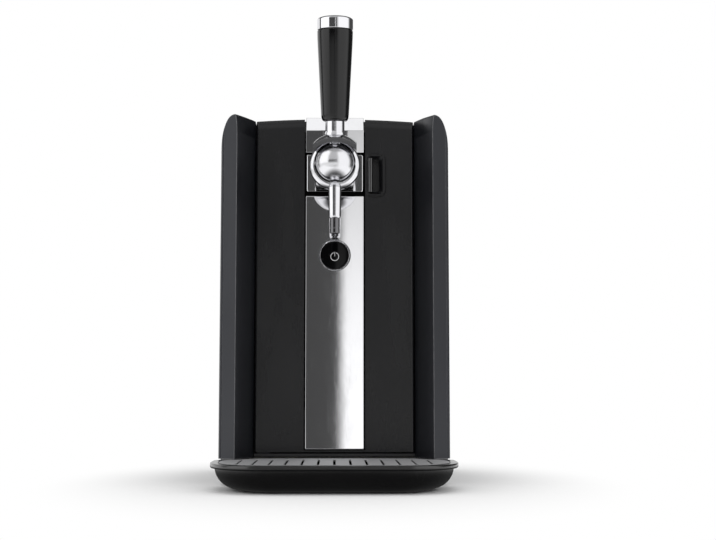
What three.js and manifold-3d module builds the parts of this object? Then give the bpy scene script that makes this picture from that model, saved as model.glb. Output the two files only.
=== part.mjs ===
// Counter-top cooler and tap for small beer kegs, in millimetres, +Z up, front towards -Y
import * as THREE from "three";
import { LoftGeometry } from "three/addons/geometries/LoftGeometry.js";
import { mergeVertices } from "three/addons/utils/BufferGeometryUtils.js";
import Module from "manifold-3d";

const wasm = await Module();
wasm.setup();

// Overall sizes; depths are counted from the side panels' front ridges, heights from the table
const BODY_WIDTH = 275;
const BODY_DEPTH = 358;
const TRAY_REACH = 137;
const PANEL_TOP = 439;
const EAR_TOP = 441.3;
const PANEL_BOTTOM = 32.5;
const WALL = 3;
const BASE_BOTTOM = 6;

// Fits shared by all pieces
const SEAT_GAP = 0.3;
const SLIDE_GAP = 0.6;
const DOOR_GAP = 2;
const DOOR_SIDE_GAP = 1;
const OVERRUN = 5;
const MERGE_GAP = 0.0001;

// Side panels: ridge, outer chamfer, inner bevel and rounded shoulder
const RIDGE_HALF = 116.8;
const RIDGE_TOP_HALF = 121.6;
const RIDGE_CURL = 26;
const CHAMFER_WIDTH = 16.7;
const CHAMFER_RUN = 16.2;
const CHAMFER_DEPTH = 26;
const SHOULDER_WIDTH = 17;
const SHOULDER_HEIGHT = 49;

// Door and the chamber's mouth behind it
const DOOR_WIDTH = 191.8;
const DOOR_BOTTOM = 38.4;
const DOOR_TOP = 444.5;
const DOOR_ARCH = 3.3;
const DOOR_FRONT = 35;
const DOOR_BACK = 47;
const DOOR_SKIN = 3.5;
const DOOR_TOP_ROUND = 12;
const DOOR_SIDE_ROUND = 3;
const LINER_SHEET = 2;
const PLUG_REACH = 13.7;
const PLUG_SIDE_GAP = 5;
const PLUG_END_GAP = 6;
const PLUG_SLOPE = 7;
const MOUTH_HALF = 91;
const MOUTH_BOTTOM = 48;
const MOUTH_TOP = 404;
const MOUTH_ROUND = 10;
const FRAME_FRONT = 52.3;
const HINGE_INSET = 6.4;
const HINGE_DEPTH = 5;
const PIN_RADIUS = 2;
const ARM_HEIGHT = 418;
const ARM_RISE = 1;
const ARM_HALF = 2.2;
const LAND_WIDTH = 5;
const LAND_DEPTH = 1.2;

// Keg chamber and the insulation round it
const CHAMBER_HALF = 93;
const CHAMBER_BACK = 254;
const CHAMBER_FLOOR = 46;
const CHAMBER_ROOF = 406;
const CHAMBER_ROUND = 30;
const FOAM_BACK = 278;
const REAR_COVER_FRONT = 346.3;
const COVER_SKIRT = 5;

// Bright strip down the middle of the door
const STRIP_HALF = 35.2;
const STRIP_FRONT = 34;
const STRIP_SHEET = 1.6;
const STRIP_BOTTOM = 41.4;
const LOWER_STRIP_TOP = 347.2;
const PLATE_HALF = 33.8;
const PLATE_BOTTOM = 352.7;
const PLATE_TOP = 397.7;
const UPPER_STRIP_BOTTOM = 400.8;
const FACET_BOTTOM = 428.2;
const FACET_TOP = 446.7;
const FACET_BACK = 48;
const HEM_BACK = 50;
const HEM_BOTTOM = 444.4;
const PLATE_PROUD = 0.4;

// Round display window
const DISPLAY_HEIGHT = 274.6;
const BEZEL_RADIUS = 19.1;
const GLASS_RADIUS = 17.4;
const BEZEL_PROUD = 0.8;
const BEZEL_LIP = 1;
const BEZEL_WALL = 2;
const BEZEL_TAIL = 3;

// Door handle in its recess
const HANDLE_LEFT = 37.2;
const HANDLE_RIGHT = 62.4;
const HANDLE_BOTTOM = 346;
const HANDLE_TOP = 400;
const HANDLE_ROUND = 9;
const HANDLE_FLANGE = 3;
const HANDLE_SEAT = 5;
const CUP_BACK = 50;

// Tap and its lever
const BALL_DEPTH = -52;
const BALL_HEIGHT = 372;
const BALL_RADIUS = 23;
const SOCKET_RADIUS = 24.3;
const HOUSING_HALF = 29.5;
const HOUSING_RADIUS = 29.4;
const HOUSING_DROP = 1.9;
const HOOD_RADIUS = 28.4;
const SPOUT_DEPTH = -60;
const SPOUT_TOP = 343.3;
const SPOUT_BOTTOM = 306.9;
const SPOUT_RADIUS = 7.6;
const NOZZLE_RADIUS = 5.7;
const NOZZLE_BOTTOM = 289.5;
const SHANK_HEIGHT = 375;
const SHANK_RADIUS = 12;
const PIVOT_RADIUS = 3;
const PIVOT_HALF = 27;
const NOTCH_HALF = 5.6;
const STEM_RADIUS = 4.4;
const STEM_FOOT = 9;
const STUD_LENGTH = 30;
const BEER_BORE = 4.5;
const SPIGOT_LENGTH = 14;
const LEVER_TILT_DEG = 6;
const NECK_RADIUS = 11;
const GRIP_BOTTOM = 48.6;
const GRIP_TOP = 152.6;
const GRIP_LOW_RADIUS = 16;
const GRIP_HIGH_RADIUS = 20.6;
const CAP_TOP = 168.6;
const CAP_SPIGOT_RADIUS = 8;
const CAP_SPIGOT_DEPTH = 8;

// Drip tray
const TRAY_HALF = 140;
const TRAY_BACK = 30;
const TRAY_RIM_TOP = 31.2;
const TRAY_RIM_THICKNESS = 5.9;
const TRAY_FLOOR = 1.2;
const TRAY_WALL = 2.5;
const TRAY_CORNER_WIDTH = 60;
const TRAY_CORNER_DEPTH = 90;
const GRID_HALF = 129.5;
const GRID_FRONT = -128.5;
const GRID_BACK = 24;
const GRID_TOP = 31.5;
const GRID_SHEET = 1.2;
const GRID_SKIRT = 2.7;
const SLOT_PITCH = 17.8;
const SLOT_WIDTH = 2.8;
const GRID_CORNER_WIDTH = 55;
const GRID_CORNER_DEPTH = 70;
const GRID_TIP_DEPTH = -50;
const GRID_THROAT = 108;
const GRID_TONGUE = 94;
const PAD_X = 68;
const PAD_Y = -85;

// Cooling column behind the chamber
const COOLING_HEIGHT = 240;
const SINK_FRONT = 282.4;
const SINK_BASE = 5;
const SINK_DEPTH = 29.5;
const FAN_SIZE = 80;
const FAN_DEPTH = 25;
const FAN_WALL = 2;
const FAN_HUB = 15;
const FAN_CLEARANCE = 1.5;
const SPACER_HALF = 22;

// Feet, electrics and gas
const FOOT_INSET = 25.5;
const FOOT_FRONT_Y = 60;
const FOOT_REAR_Y = 325;
const INLET_INSET = 55.5;
const INLET_HEIGHT = 84;
const INLET_HALF = 13.7;
const INLET_RISE = 9.8;
const SWITCH_SPACING = 38;
const SWITCH_HALF = 10.5;
const SWITCH_RISE = 7;
const ROCKER_INSET = 6;
const COUPLING_HEIGHT = 66;
const COUPLING_RADIUS = 8;
const COUPLING_TAIL = 8;
const PUMP_INSET = 45.5;
const PUMP_SET_BACK = 30;
const PUMP_HEIGHT = 30;
const MOTOR_RADIUS = 14;
const SUPPLY_INSET = 15.5;
const SUPPLY_SET_BACK = 5;
const SUPPLY_WIDTH = 104;
const SUPPLY_DEPTH = 55;
const SUPPLY_HEIGHT = 46;
const BOARD_INSET = 11.5;
const BOARD_WIDTH = 62;
const BOARD_LOW = 150;
const BOARD_HIGH = 262;
const PORT_REACH = 36.4;
const PIPE_RADIUS = 3;

// Fineness of curves, in steps
const ROUND_STEPS = 20;
const SMALL_STEPS = 8;
const HOOD_STEPS = 24;
const NUT_SIDES = 6;
const BAR_STEPS = 6;
const DUCT_STEPS = 12;
const BALL_STEPS = 20;
const CORNER_STEPS = 4;

// Finishes: colour, roughness, metalness
const FINISHES = {
  shellGrey: [0x2b2c30, 0.5, 0.1],
  doorBlack: [0x232326, 0.45, 0.1],
  chrome: [0xe6e6e6, 0.08, 1],
  gripBlack: [0x141416, 0.35, 0],
  glass: [0x050506, 0.05, 0],
  trayBlack: [0x18181a, 0.45, 0],
  steel: [0xb4b6b6, 0.35, 1],
  aluminium: [0xc9cbcd, 0.45, 1],
  liner: [0xd8d9da, 0.5, 0],
  foam: [0xe9e2c8, 0.9, 0],
  rubber: [0x1a1a1a, 0.85, 0],
  board: [0x1f5a38, 0.6, 0],
  ceramic: [0xf2f2ee, 0.6, 0],
  darkPlastic: [0x202022, 0.6, 0],
  brass: [0xb89b52, 0.3, 1],
};

const X_AXIS = new THREE.Vector3(1, 0, 0);
const Y_AXIS = new THREE.Vector3(0, 1, 0);
const Z_AXIS = new THREE.Vector3(0, 0, 1);

// A closed solid from a three.js geometry, turned to face out
function solid(geometry) {
  const bare = new THREE.BufferGeometry();
  bare.setAttribute("position", geometry.getAttribute("position"));
  if (geometry.index) bare.setIndex(geometry.index);
  const merged = mergeVertices(bare, MERGE_GAP);
  const order = merged.index.array;
  const kept = [];
  for (let i = 0; i < order.length; i += 3) {
    const [a, b, c] = [order[i], order[i + 1], order[i + 2]];
    if (a !== b && b !== c && c !== a) kept.push(a, b, c);
  }
  const mesh = (triangles) =>
    new wasm.Manifold(
      new wasm.Mesh({
        numProp: 3,
        vertProperties: merged.attributes.position.array,
        triVerts: new Uint32Array(triangles),
      }),
    );
  const made = mesh(kept);
  if (made.volume() > 0) return made;
  const turned = [];
  for (let i = 0; i < kept.length; i += 3) turned.push(kept[i + 1], kept[i], kept[i + 2]);
  return mesh(turned);
}

// The three.js geometry of a solid
function geometryOf(made) {
  const mesh = made.getMesh();
  const positions = new Float32Array(mesh.numVert * 3);
  for (let i = 0; i < mesh.numVert; i++) {
    positions.set(mesh.vertProperties.subarray(i * mesh.numProp, i * mesh.numProp + 3), i * 3);
  }
  const geometry = new THREE.BufferGeometry();
  geometry.setAttribute("position", new THREE.BufferAttribute(positions, 3));
  geometry.setIndex(new THREE.BufferAttribute(new Uint32Array(mesh.triVerts), 1));
  return geometry;
}

function join(...solids) {
  return solids.reduce((sum, next) => sum.add(next));
}

function cut(body, ...tools) {
  return tools.reduce((rest, tool) => rest.subtract(tool), body);
}

// A solid carried by a matrix
function moved(made, matrix) {
  return solid(geometryOf(made).applyMatrix4(matrix));
}

function turnedAbout(made, axis, angle, centre) {
  const there = new THREE.Matrix4().makeTranslation(...centre);
  const back = new THREE.Matrix4().makeTranslation(...centre.map((value) => -value));
  const turn = new THREE.Matrix4().makeRotationAxis(axis, angle);
  return moved(made, there.multiply(turn).multiply(back));
}

function outlineOf(points) {
  return new THREE.Shape(points.map(([a, b]) => new THREE.Vector2(a, b)));
}

// The matrix that stands a flat outline's depth along an axis: x takes (y, z), y takes (x, z), z takes (x, y)
function standing(axis) {
  const matrix = new THREE.Matrix4();
  if (axis === "x") matrix.makeBasis(Y_AXIS, Z_AXIS, X_AXIS);
  if (axis === "y") matrix.makeBasis(X_AXIS, Z_AXIS, Y_AXIS);
  return matrix;
}

// An outline pushed along an axis from one level to another
function prism(outline, axis, from, to, steps = CORNER_STEPS) {
  const shape = outline instanceof THREE.Shape ? outline : outlineOf(outline);
  const depth = to - from;
  const geometry = new THREE.ExtrudeGeometry(shape, { depth, bevelEnabled: false, curveSegments: steps });
  geometry.translate(0, 0, from);
  return solid(geometry.applyMatrix4(standing(axis)));
}

function block([x0, x1], [y0, y1], [z0, z1]) {
  const geometry = new THREE.BoxGeometry(x1 - x0, y1 - y0, z1 - z0);
  geometry.translate((x0 + x1) / 2, (y0 + y1) / 2, (z0 + z1) / 2);
  return solid(geometry);
}

function roundedOutline([a0, a1], [b0, b1], round) {
  const quarter = Math.PI / 2;
  const shape = new THREE.Shape();
  shape.absarc(a1 - round, b0 + round, round, -quarter, 0);
  shape.absarc(a1 - round, b1 - round, round, 0, quarter);
  shape.absarc(a0 + round, b1 - round, round, quarter, 2 * quarter);
  shape.absarc(a0 + round, b0 + round, round, 2 * quarter, 3 * quarter);
  shape.closePath();
  return shape;
}

function roundedBlock(axis, a, b, [from, to], round, steps = CORNER_STEPS) {
  return prism(roundedOutline(a, b, round), axis, from, to, steps);
}

function discOutline(radius, [a, b] = [0, 0]) {
  const shape = new THREE.Shape();
  shape.absarc(a, b, radius, 0, 2 * Math.PI);
  return shape;
}

function rod(axis, radius, at, [from, to], steps = SMALL_STEPS) {
  return prism(discOutline(radius, at), axis, from, to, steps);
}

// A turned piece: profile of radius and height about an axis, which starts and ends on the axis
function turned(profile, axis, steps = ROUND_STEPS) {
  const geometry = new THREE.LatheGeometry(profile.map(([r, h]) => new THREE.Vector2(r, h)), steps);
  const matrix = new THREE.Matrix4();
  if (axis === "z") matrix.makeBasis(X_AXIS, Z_AXIS, Y_AXIS);
  if (axis === "x") matrix.makeBasis(Y_AXIS, X_AXIS, Z_AXIS);
  return solid(geometry.applyMatrix4(matrix));
}

function shifted(made, x, y, z) {
  return moved(made, new THREE.Matrix4().makeTranslation(x, y, z));
}

// A skin through sections, each turned so that it winds round the way from first to last
function lofted(sections) {
  const first = sections[0];
  const last = sections[sections.length - 1];
  const centre = (points) =>
    points.reduce((sum, point) => sum.add(point), new THREE.Vector3()).divideScalar(points.length);
  const way = centre(last).sub(centre(first));
  const winding = new THREE.Vector3();
  first.forEach((point, i) => winding.add(point.clone().cross(first[(i + 1) % first.length])));
  const ordered = winding.dot(way) < 0 ? sections.map((points) => [...points].reverse()) : sections;
  return solid(new LoftGeometry(ordered, { capStart: true, capEnd: true }));
}

// A named mesh of its own material, in the frame of the group that holds it
function piece(group, name, made, finish) {
  const [color, roughness, metalness] = FINISHES[finish];
  const geometry = geometryOf(made);
  geometry.translate(-group.userData.x, -group.userData.y, -group.userData.z);
  const material = new THREE.MeshStandardMaterial({ color, roughness, metalness });
  const mesh = new THREE.Mesh(geometry, material);
  mesh.name = name;
  group.add(mesh);
  return mesh;
}

// A group whose own frame stands at a point of the machine
function assembly(name, x = 0, y = 0, z = 0) {
  const group = new THREE.Group();
  group.name = name;
  group.position.set(x, y, z);
  group.userData = { x, y, z };
  return group;
}

const halfWidth = BODY_WIDTH / 2;
const doorHalf = DOOR_WIDTH / 2;
const jamb = doorHalf + DOOR_SIDE_GAP;
const footX = halfWidth - FOOT_INSET;
const inletX = INLET_INSET - halfWidth;
const switchX = inletX + SWITCH_SPACING;
const pumpX = PUMP_INSET - halfWidth;
const pumpY = FOAM_BACK + PUMP_SET_BACK;
const hingeX = -(doorHalf - HINGE_INSET);
const hingeY = DOOR_FRONT + HINGE_DEPTH;

// Half of a front view's outline: flat top, rounded shoulder and straight side, moved in by an inset
function shoulderOutline(inset, bottom, top = PANEL_TOP) {
  const roundness = 2.3;
  const centre = halfWidth - SHOULDER_WIDTH;
  const low = EAR_TOP - SHOULDER_HEIGHT;
  const points = [];
  const steps = 10;
  for (let i = 0; i <= steps; i++) {
    const angle = (i / steps) * (Math.PI / 2);
    const across = Math.sin(angle) ** (2 / roundness);
    const up = Math.cos(angle) ** (2 / roundness);
    const level = Math.min(low + (SHOULDER_HEIGHT - inset) * up, top - inset);
    points.push([centre + (SHOULDER_WIDTH - inset) * across, level]);
  }
  points.push([halfWidth - inset, bottom]);
  return points;
}

// Plan of a side panel's outer faces from the ridge to the rear, moved in by an inset
function chamferPlan(inset, back) {
  const points = [[RIDGE_HALF, inset * Math.SQRT2]];
  const bendX = RIDGE_HALF + CHAMFER_WIDTH - inset;
  const bendY = CHAMFER_RUN + inset / 2;
  const steps = 4;
  for (let i = 0; i <= steps; i++) {
    const t = i / steps;
    const x = (1 - t) ** 2 * bendX + (1 - (1 - t) ** 2) * (halfWidth - inset);
    const y = (1 - t * t) * bendY + t * t * CHAMFER_DEPTH;
    points.push([x, y]);
  }
  points.push([halfWidth - inset, back]);
  return points;
}

// The space between the two inner bevels, which opens out round the ridges' curled tops
function doorRecess(inset) {
  const sections = [];
  const curlBottom = EAR_TOP - RIDGE_CURL;
  const levels = [-OVERRUN, curlBottom];
  const curlSteps = 5;
  for (let i = 1; i <= curlSteps; i++) levels.push(curlBottom + (RIDGE_CURL * i) / curlSteps);
  levels.push(EAR_TOP + OVERRUN);
  for (const level of levels) {
    const share = Math.min(Math.max((level - curlBottom) / RIDGE_CURL, 0), 1);
    const curl = 1 - Math.sqrt(1 - share * share);
    const ridge = RIDGE_HALF + (RIDGE_TOP_HALF - RIDGE_HALF) * curl + inset;
    const edge = jamb + inset;
    const slope = (ridge - edge) / DOOR_FRONT;
    const plan = [
      [ridge + slope * OVERRUN, -OVERRUN],
      [edge, DOOR_FRONT],
      [edge, FRAME_FRONT - SEAT_GAP],
    ];
    const left = plan.map(([x, y]) => [-x, y]).reverse();
    sections.push([...plan, ...left].map(([x, y]) => new THREE.Vector3(x, y, level)));
  }
  return lofted(sections);
}

// Side view of the ears' top edge, which falls in a curve from the ridge to the door
function earFall(inset, back, side) {
  const outline = [[-OVERRUN, PANEL_BOTTOM - OVERRUN * 2], [-OVERRUN, EAR_TOP - inset]];
  const steps = 4;
  for (let i = 0; i <= steps; i++) {
    const t = i / steps;
    outline.push([DOOR_FRONT * t, EAR_TOP - inset - (EAR_TOP - PANEL_TOP) * t * t]);
  }
  outline.push([back + OVERRUN, PANEL_TOP - inset], [back + OVERRUN, PANEL_BOTTOM - OVERRUN * 2]);
  return prism(outline, "x", Math.min(0, side * halfWidth), Math.max(0, side * halfWidth));
}

// Most skilled form: chamfer, bevel, curled ridge and shoulder meet in one hollow ear
function sidePanel(side) {
  const mirror = (points) => points.map(([a, b]) => [side * a, b]);
  const innerX = jamb;
  const shell = (inset, back, bottom, start) => {
    const frontEdge = [[start, inset * Math.SQRT2], ...chamferPlan(inset, back), [start, back]];
    const plan = prism(mirror(frontEdge), "z", bottom, EAR_TOP + OVERRUN);
    const front = [[0, bottom], [0, EAR_TOP - inset], ...shoulderOutline(inset, bottom, EAR_TOP)];
    const view = prism(mirror(front), "y", -OVERRUN, back + OVERRUN);
    return plan.intersect(view).intersect(earFall(inset, back, side));
  };
  const outer = shell(0, REAR_COVER_FRONT - SEAT_GAP, PANEL_BOTTOM, innerX);
  const inner = shell(WALL, REAR_COVER_FRONT + OVERRUN, PANEL_BOTTOM - OVERRUN, 0);
  const ear = cut(outer, doorRecess(0));
  const jambReturn = block(
    [side > 0 ? jamb : -jamb - WALL, side > 0 ? jamb + WALL : -jamb],
    [DOOR_FRONT, FRAME_FRONT - SEAT_GAP],
    [PANEL_BOTTOM, PANEL_TOP - WALL],
  );
  const hollow = cut(inner, doorRecess(WALL), jambReturn);
  return cut(ear, hollow);
}

function base() {
  const inset = 2.5;
  const floorBottom = BASE_BOTTOM;
  const edge = halfWidth - inset;
  const noseHalf = RIDGE_HALF + inset;
  const noseFront = 4;
  const rearRound = 15;
  const rear = BODY_DEPTH - inset;
  const sillFront = TRAY_BACK + SLIDE_GAP;
  const plan = (margin) => {
    const half = [
      [0, sillFront + margin],
      [jamb + inset - margin, sillFront + margin],
      [noseHalf - inset, noseFront + margin * 2],
      [noseHalf, noseFront + margin],
      [edge - margin, CHAMFER_DEPTH + margin / 2],
      [edge - margin, rear - rearRound],
      [edge - rearRound, rear - margin],
    ];
    const left = half.slice(1).map(([x, y]) => [-x, y]).reverse();
    return [...half, ...left];
  };
  const top = PANEL_BOTTOM - SEAT_GAP;
  const tub = cut(
    prism(plan(0), "z", floorBottom, top),
    prism(plan(WALL), "z", floorBottom + WALL, top + OVERRUN),
  );
  const ribHeight = 10;
  const ribAt = 70;
  const ribs = [-ribAt, ribAt].map((x) =>
    block(
      [x - WALL / 2, x + WALL / 2],
      [sillFront + WALL / 2, CHAMBER_BACK],
      [floorBottom + WALL / 2, floorBottom + ribHeight],
    ),
  );
  const ventHalf = 34;
  const ventWidth = 4;
  const vents = [];
  const ventPitch = 10;
  const ventCount = 6;
  for (let i = 0; i < ventCount; i++) {
    const y = CHAMBER_BACK + FAN_DEPTH + i * ventPitch;
    vents.push(block([-ventHalf, ventHalf], [y, y + ventWidth], [0, floorBottom + WALL + OVERRUN]));
  }
  return cut(join(tub, ...ribs), ...vents);
}

function foot(x, y) {
  const radius = 11;
  const height = BASE_BOTTOM - SEAT_GAP;
  const lip = 1.5;
  const profile = [[0, 0], [radius - lip, 0], [radius, lip], [radius, height], [0, height]];
  return shifted(turned(profile, "z", ROUND_STEPS), x, y, 0);
}

function topCover() {
  const half = jamb - SEAT_GAP;
  const crown = 3.5;
  const steps = 10;
  const arch = (inset) => {
    const points = [];
    for (let i = 0; i <= steps; i++) {
      const x = half - inset - ((2 * i) / steps) * (half - inset);
      points.push([x, PANEL_TOP - inset + crown * (1 - (x / half) ** 2)]);
    }
    return points;
  };
  const low = PANEL_TOP - WALL - COVER_SKIRT;
  const outer = [[-half, low], [half, low], ...arch(0)];
  const inner = [[-half + WALL, low - OVERRUN], [half - WALL, low - OVERRUN], ...arch(WALL)];
  const rear = REAR_COVER_FRONT - SEAT_GAP;
  return cut(
    prism(outer, "y", FRAME_FRONT, rear),
    prism(inner, "y", FRAME_FRONT + WALL, rear - WALL),
  );
}

// The outline of the body seen from the front or the rear
function bodyOutline(inset, bottom) {
  const right = shoulderOutline(inset, bottom);
  const left = right.map(([x, z]) => [-x, z]).reverse();
  return [...right, ...left];
}

function rearCover() {
  const face = BODY_DEPTH - WALL;
  const shell = cut(
    prism(bodyOutline(0, PANEL_BOTTOM), "y", REAR_COVER_FRONT, BODY_DEPTH),
    prism(bodyOutline(WALL, PANEL_BOTTOM + WALL), "y", REAR_COVER_FRONT - OVERRUN, face),
  );
  const through = [face - OVERRUN, BODY_DEPTH + OVERRUN];
  const slotHeight = 5;
  const slotPitch = 10;
  const grilleRadius = 46;
  const cuts = [];
  for (let i = -4; i <= 4; i++) {
    const reach = Math.sqrt(grilleRadius ** 2 - (i * slotPitch) ** 2);
    const z = COOLING_HEIGHT + i * slotPitch;
    const heights = [z - slotHeight / 2, z + slotHeight / 2];
    cuts.push(roundedBlock("y", [-reach, reach], heights, through, slotHeight / 2 - MERGE_GAP, 1));
  }
  const intakeHalf = 52;
  const intakeBottom = 130;
  for (let i = 0; i < 5; i++) {
    const z = intakeBottom + i * slotPitch;
    const heights = [z - slotHeight / 2, z + slotHeight / 2];
    cuts.push(roundedBlock("y", [-intakeHalf, intakeHalf], heights, through, slotHeight / 2 - MERGE_GAP, 1));
  }
  const inletHole = rimmedHole(inletX, INLET_HALF + SEAT_GAP, INLET_RISE + SEAT_GAP, through);
  const switchHole = rimmedHole(switchX, SWITCH_HALF + SEAT_GAP, SWITCH_RISE + SEAT_GAP, through);
  return cut(shell, ...cuts, inletHole, switchHole);
}

// Mains inlet and rocker switch, low on the rear
function rimmedHole(x, half, rise, through) {
  const corner = 1.5;
  const heights = [INLET_HEIGHT - rise, INLET_HEIGHT + rise];
  return roundedBlock("y", [x - half, x + half], heights, through, corner, 2);
}

function powerInlet() {
  const bodyDepth = 24;
  const flange = 3.2;
  const flangeDepth = 2.2;
  const faceBack = BODY_DEPTH - WALL - SEAT_GAP;
  const end = BODY_DEPTH - SEAT_GAP;
  const front = faceBack - bodyDepth;
  const shell = join(
    rimmedHole(inletX, INLET_HALF, INLET_RISE, [front, end]),
    rimmedHole(inletX, INLET_HALF + flange, INLET_RISE + flange, [faceBack - flangeDepth, faceBack]),
  );
  const socketWall = 1.8;
  const socketDepth = 16;
  const cavity = rimmedHole(
    inletX,
    INLET_HALF - socketWall,
    INLET_RISE - socketWall,
    [end - socketDepth, end + OVERRUN],
  );
  const pinHalf = 1;
  const pinTall = 4;
  const pinSpread = 7;
  const pins = [-1, 0, 1].map((i) => {
    const level = INLET_HEIGHT + (i ? 0 : pinTall / 2);
    return block(
      [inletX + i * pinSpread - pinHalf, inletX + i * pinSpread + pinHalf],
      [end - socketDepth - pinHalf, end - pinTall],
      [level - pinTall / 2, level + pinTall / 2],
    );
  });
  return join(cut(shell, cavity), ...pins);
}

// The rocker turns on an axis across the switch, just inside its frame
const rockerDepth = BODY_DEPTH - ROCKER_INSET;

function switchFrame() {
  const depth = 20;
  const flange = 2.6;
  const flangeDepth = 2.2;
  const faceBack = BODY_DEPTH - WALL - SEAT_GAP;
  const end = BODY_DEPTH - SEAT_GAP;
  const wall = 1.6;
  const floor = 11;
  const outer = join(
    rimmedHole(switchX, SWITCH_HALF, SWITCH_RISE, [faceBack - depth, end]),
    rimmedHole(switchX, SWITCH_HALF + flange, SWITCH_RISE + flange, [faceBack - flangeDepth, faceBack]),
  );
  return cut(
    outer,
    rimmedHole(switchX, SWITCH_HALF - wall, SWITCH_RISE - wall, [end - floor, end + OVERRUN]),
  );
}

function rocker() {
  const half = 8.2;
  const rise = 4.5;
  const back = -3;
  const dip = 3.2;
  const proud = 4.6;
  const pressed = 3.4;
  const backRise = 3.1;
  const profile = [
    [back, -backRise],
    [proud, -rise],
    [dip, 0],
    [pressed, rise],
    [back, backRise],
  ];
  const shape = profile.map(([y, z]) => [rockerDepth + y, INLET_HEIGHT + z]);
  return prism(shape, "x", switchX - half, switchX + half);
}

function frontFrame() {
  const half = halfWidth - WALL - SLIDE_GAP;
  const top = PANEL_TOP - WALL - COVER_SKIRT - SLIDE_GAP;
  const shoulder = 12;
  const low = PANEL_BOTTOM + SEAT_GAP;
  const back = FRAME_FRONT + WALL;
  const outline = [
    [half, low],
    [half, top - SHOULDER_HEIGHT],
    [half - shoulder, top],
    [-half + shoulder, top],
    [-half, top - SHOULDER_HEIGHT],
    [-half, low],
  ];
  const plate = prism(outline, "y", FRAME_FRONT, back);
  const sillHalf = jamb - SLIDE_GAP;
  const sillSetBack = 1.5;
  const sillFront = DOOR_FRONT + sillSetBack;
  const sillTop = DOOR_BOTTOM - DOOR_GAP;
  const sill = block([-sillHalf, sillHalf], [sillFront, back], [low, sillTop]);
  const mouth = roundedBlock(
    "y",
    [-MOUTH_HALF, MOUTH_HALF],
    [MOUTH_BOTTOM, MOUTH_TOP],
    [FRAME_FRONT - OVERRUN, back + OVERRUN],
    MOUTH_ROUND,
  );
  const rebate = roundedBlock(
    "y",
    [-MOUTH_HALF - LAND_WIDTH, MOUTH_HALF + LAND_WIDTH],
    [MOUTH_BOTTOM - LAND_WIDTH, MOUTH_TOP + LAND_WIDTH],
    [FRAME_FRONT - OVERRUN, FRAME_FRONT + LAND_DEPTH],
    MOUTH_ROUND + LAND_WIDTH,
  );
  const armSlot = block(
    [hingeX - ARM_HALF - SLIDE_GAP, hingeX + ARM_HALF + SLIDE_GAP],
    [FRAME_FRONT - OVERRUN, back + OVERRUN],
    [ARM_HEIGHT - ARM_RISE - SLIDE_GAP, ARM_HEIGHT + ARM_RISE + SLIDE_GAP],
  );
  return cut(join(plate, sill), mouth, rebate, armSlot);
}

function steelLand() {
  const landWidth = LAND_WIDTH - SEAT_GAP;
  const ring = (grow, levels) =>
    roundedBlock(
      "y",
      [-MOUTH_HALF - grow, MOUTH_HALF + grow],
      [MOUTH_BOTTOM - grow, MOUTH_TOP + grow],
      levels,
      MOUTH_ROUND + grow,
    );
  const front = FRAME_FRONT;
  const back = FRAME_FRONT + LAND_DEPTH - SEAT_GAP;
  return cut(ring(landWidth, [front, back]), ring(0, [front - OVERRUN, back + OVERRUN]));
}

// Hinge pins stand on a sill plate below and on an arm through the frame above
function lowerHinge() {
  const plateDepth = 12;
  const plateBottom = DOOR_BOTTOM - DOOR_GAP + SEAT_GAP;
  const plateTop = DOOR_BOTTOM - SEAT_GAP;
  const pinTop = DOOR_BOTTOM + DOOR_SKIN + PLUG_REACH / 2;
  const plate = roundedBlock(
    "z",
    [hingeX - ARM_HALF * 2, hingeX + plateDepth],
    [hingeY - ARM_HALF, hingeY + plateDepth - ARM_HALF],
    [plateBottom, plateTop],
    ARM_HALF,
    2,
  );
  return join(plate, rod("z", PIN_RADIUS, [hingeX, hingeY], [plateTop - ARM_RISE, pinTop], SMALL_STEPS));
}

function upperHinge() {
  const footHalf = 9;
  const footDepth = 2;
  const footFront = FRAME_FRONT + WALL + SEAT_GAP;
  const heights = [ARM_HEIGHT - ARM_RISE, ARM_HEIGHT + ARM_RISE];
  const arm = block([hingeX - ARM_HALF, hingeX + ARM_HALF], [hingeY, footFront + footDepth], heights);
  const nose = rod("z", ARM_HALF, [hingeX, hingeY], heights, SMALL_STEPS);
  const foot = block(
    [hingeX - footHalf, hingeX + footHalf],
    [footFront, footFront + footDepth],
    [ARM_HEIGHT - footHalf + ARM_RISE, ARM_HEIGHT + footHalf],
  );
  const pinReach = 4.5;
  const pin = rod(
    "z",
    PIN_RADIUS,
    [hingeX, hingeY],
    [ARM_HEIGHT - ARM_RISE - pinReach, ARM_HEIGHT + ARM_RISE + pinReach],
    SMALL_STEPS,
  );
  return join(arm, nose, foot, pin);
}

// Chamber space grown by a margin; round rear corners follow the keg
function chamberSpace(margin, front, steps = CORNER_STEPS) {
  const half = CHAMBER_HALF + margin;
  const back = CHAMBER_BACK + margin;
  const round = CHAMBER_ROUND;
  const shape = new THREE.Shape();
  shape.moveTo(-half, front);
  shape.lineTo(half, front);
  shape.absarc(half - round, back - round, round, 0, Math.PI / 2);
  shape.absarc(-half + round, back - round, round, Math.PI / 2, Math.PI);
  shape.closePath();
  return prism(shape, "z", CHAMBER_FLOOR - margin, CHAMBER_ROOF + margin, steps);
}

function rearPassages(margin) {
  const through = [CHAMBER_BACK - OVERRUN, FOAM_BACK + OVERRUN];
  const half = SPACER_HALF + margin;
  return [
    block([-half, half], through, [COOLING_HEIGHT - half, COOLING_HEIGHT + half]),
    rod("y", COUPLING_RADIUS + margin, [0, COUPLING_HEIGHT], through),
  ];
}

function chamberLiner() {
  const front = FRAME_FRONT + WALL + SEAT_GAP;
  const walls = cut(chamberSpace(LINER_SHEET, front), chamberSpace(0, front - OVERRUN));
  return cut(walls, ...rearPassages(SLIDE_GAP));
}

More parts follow.
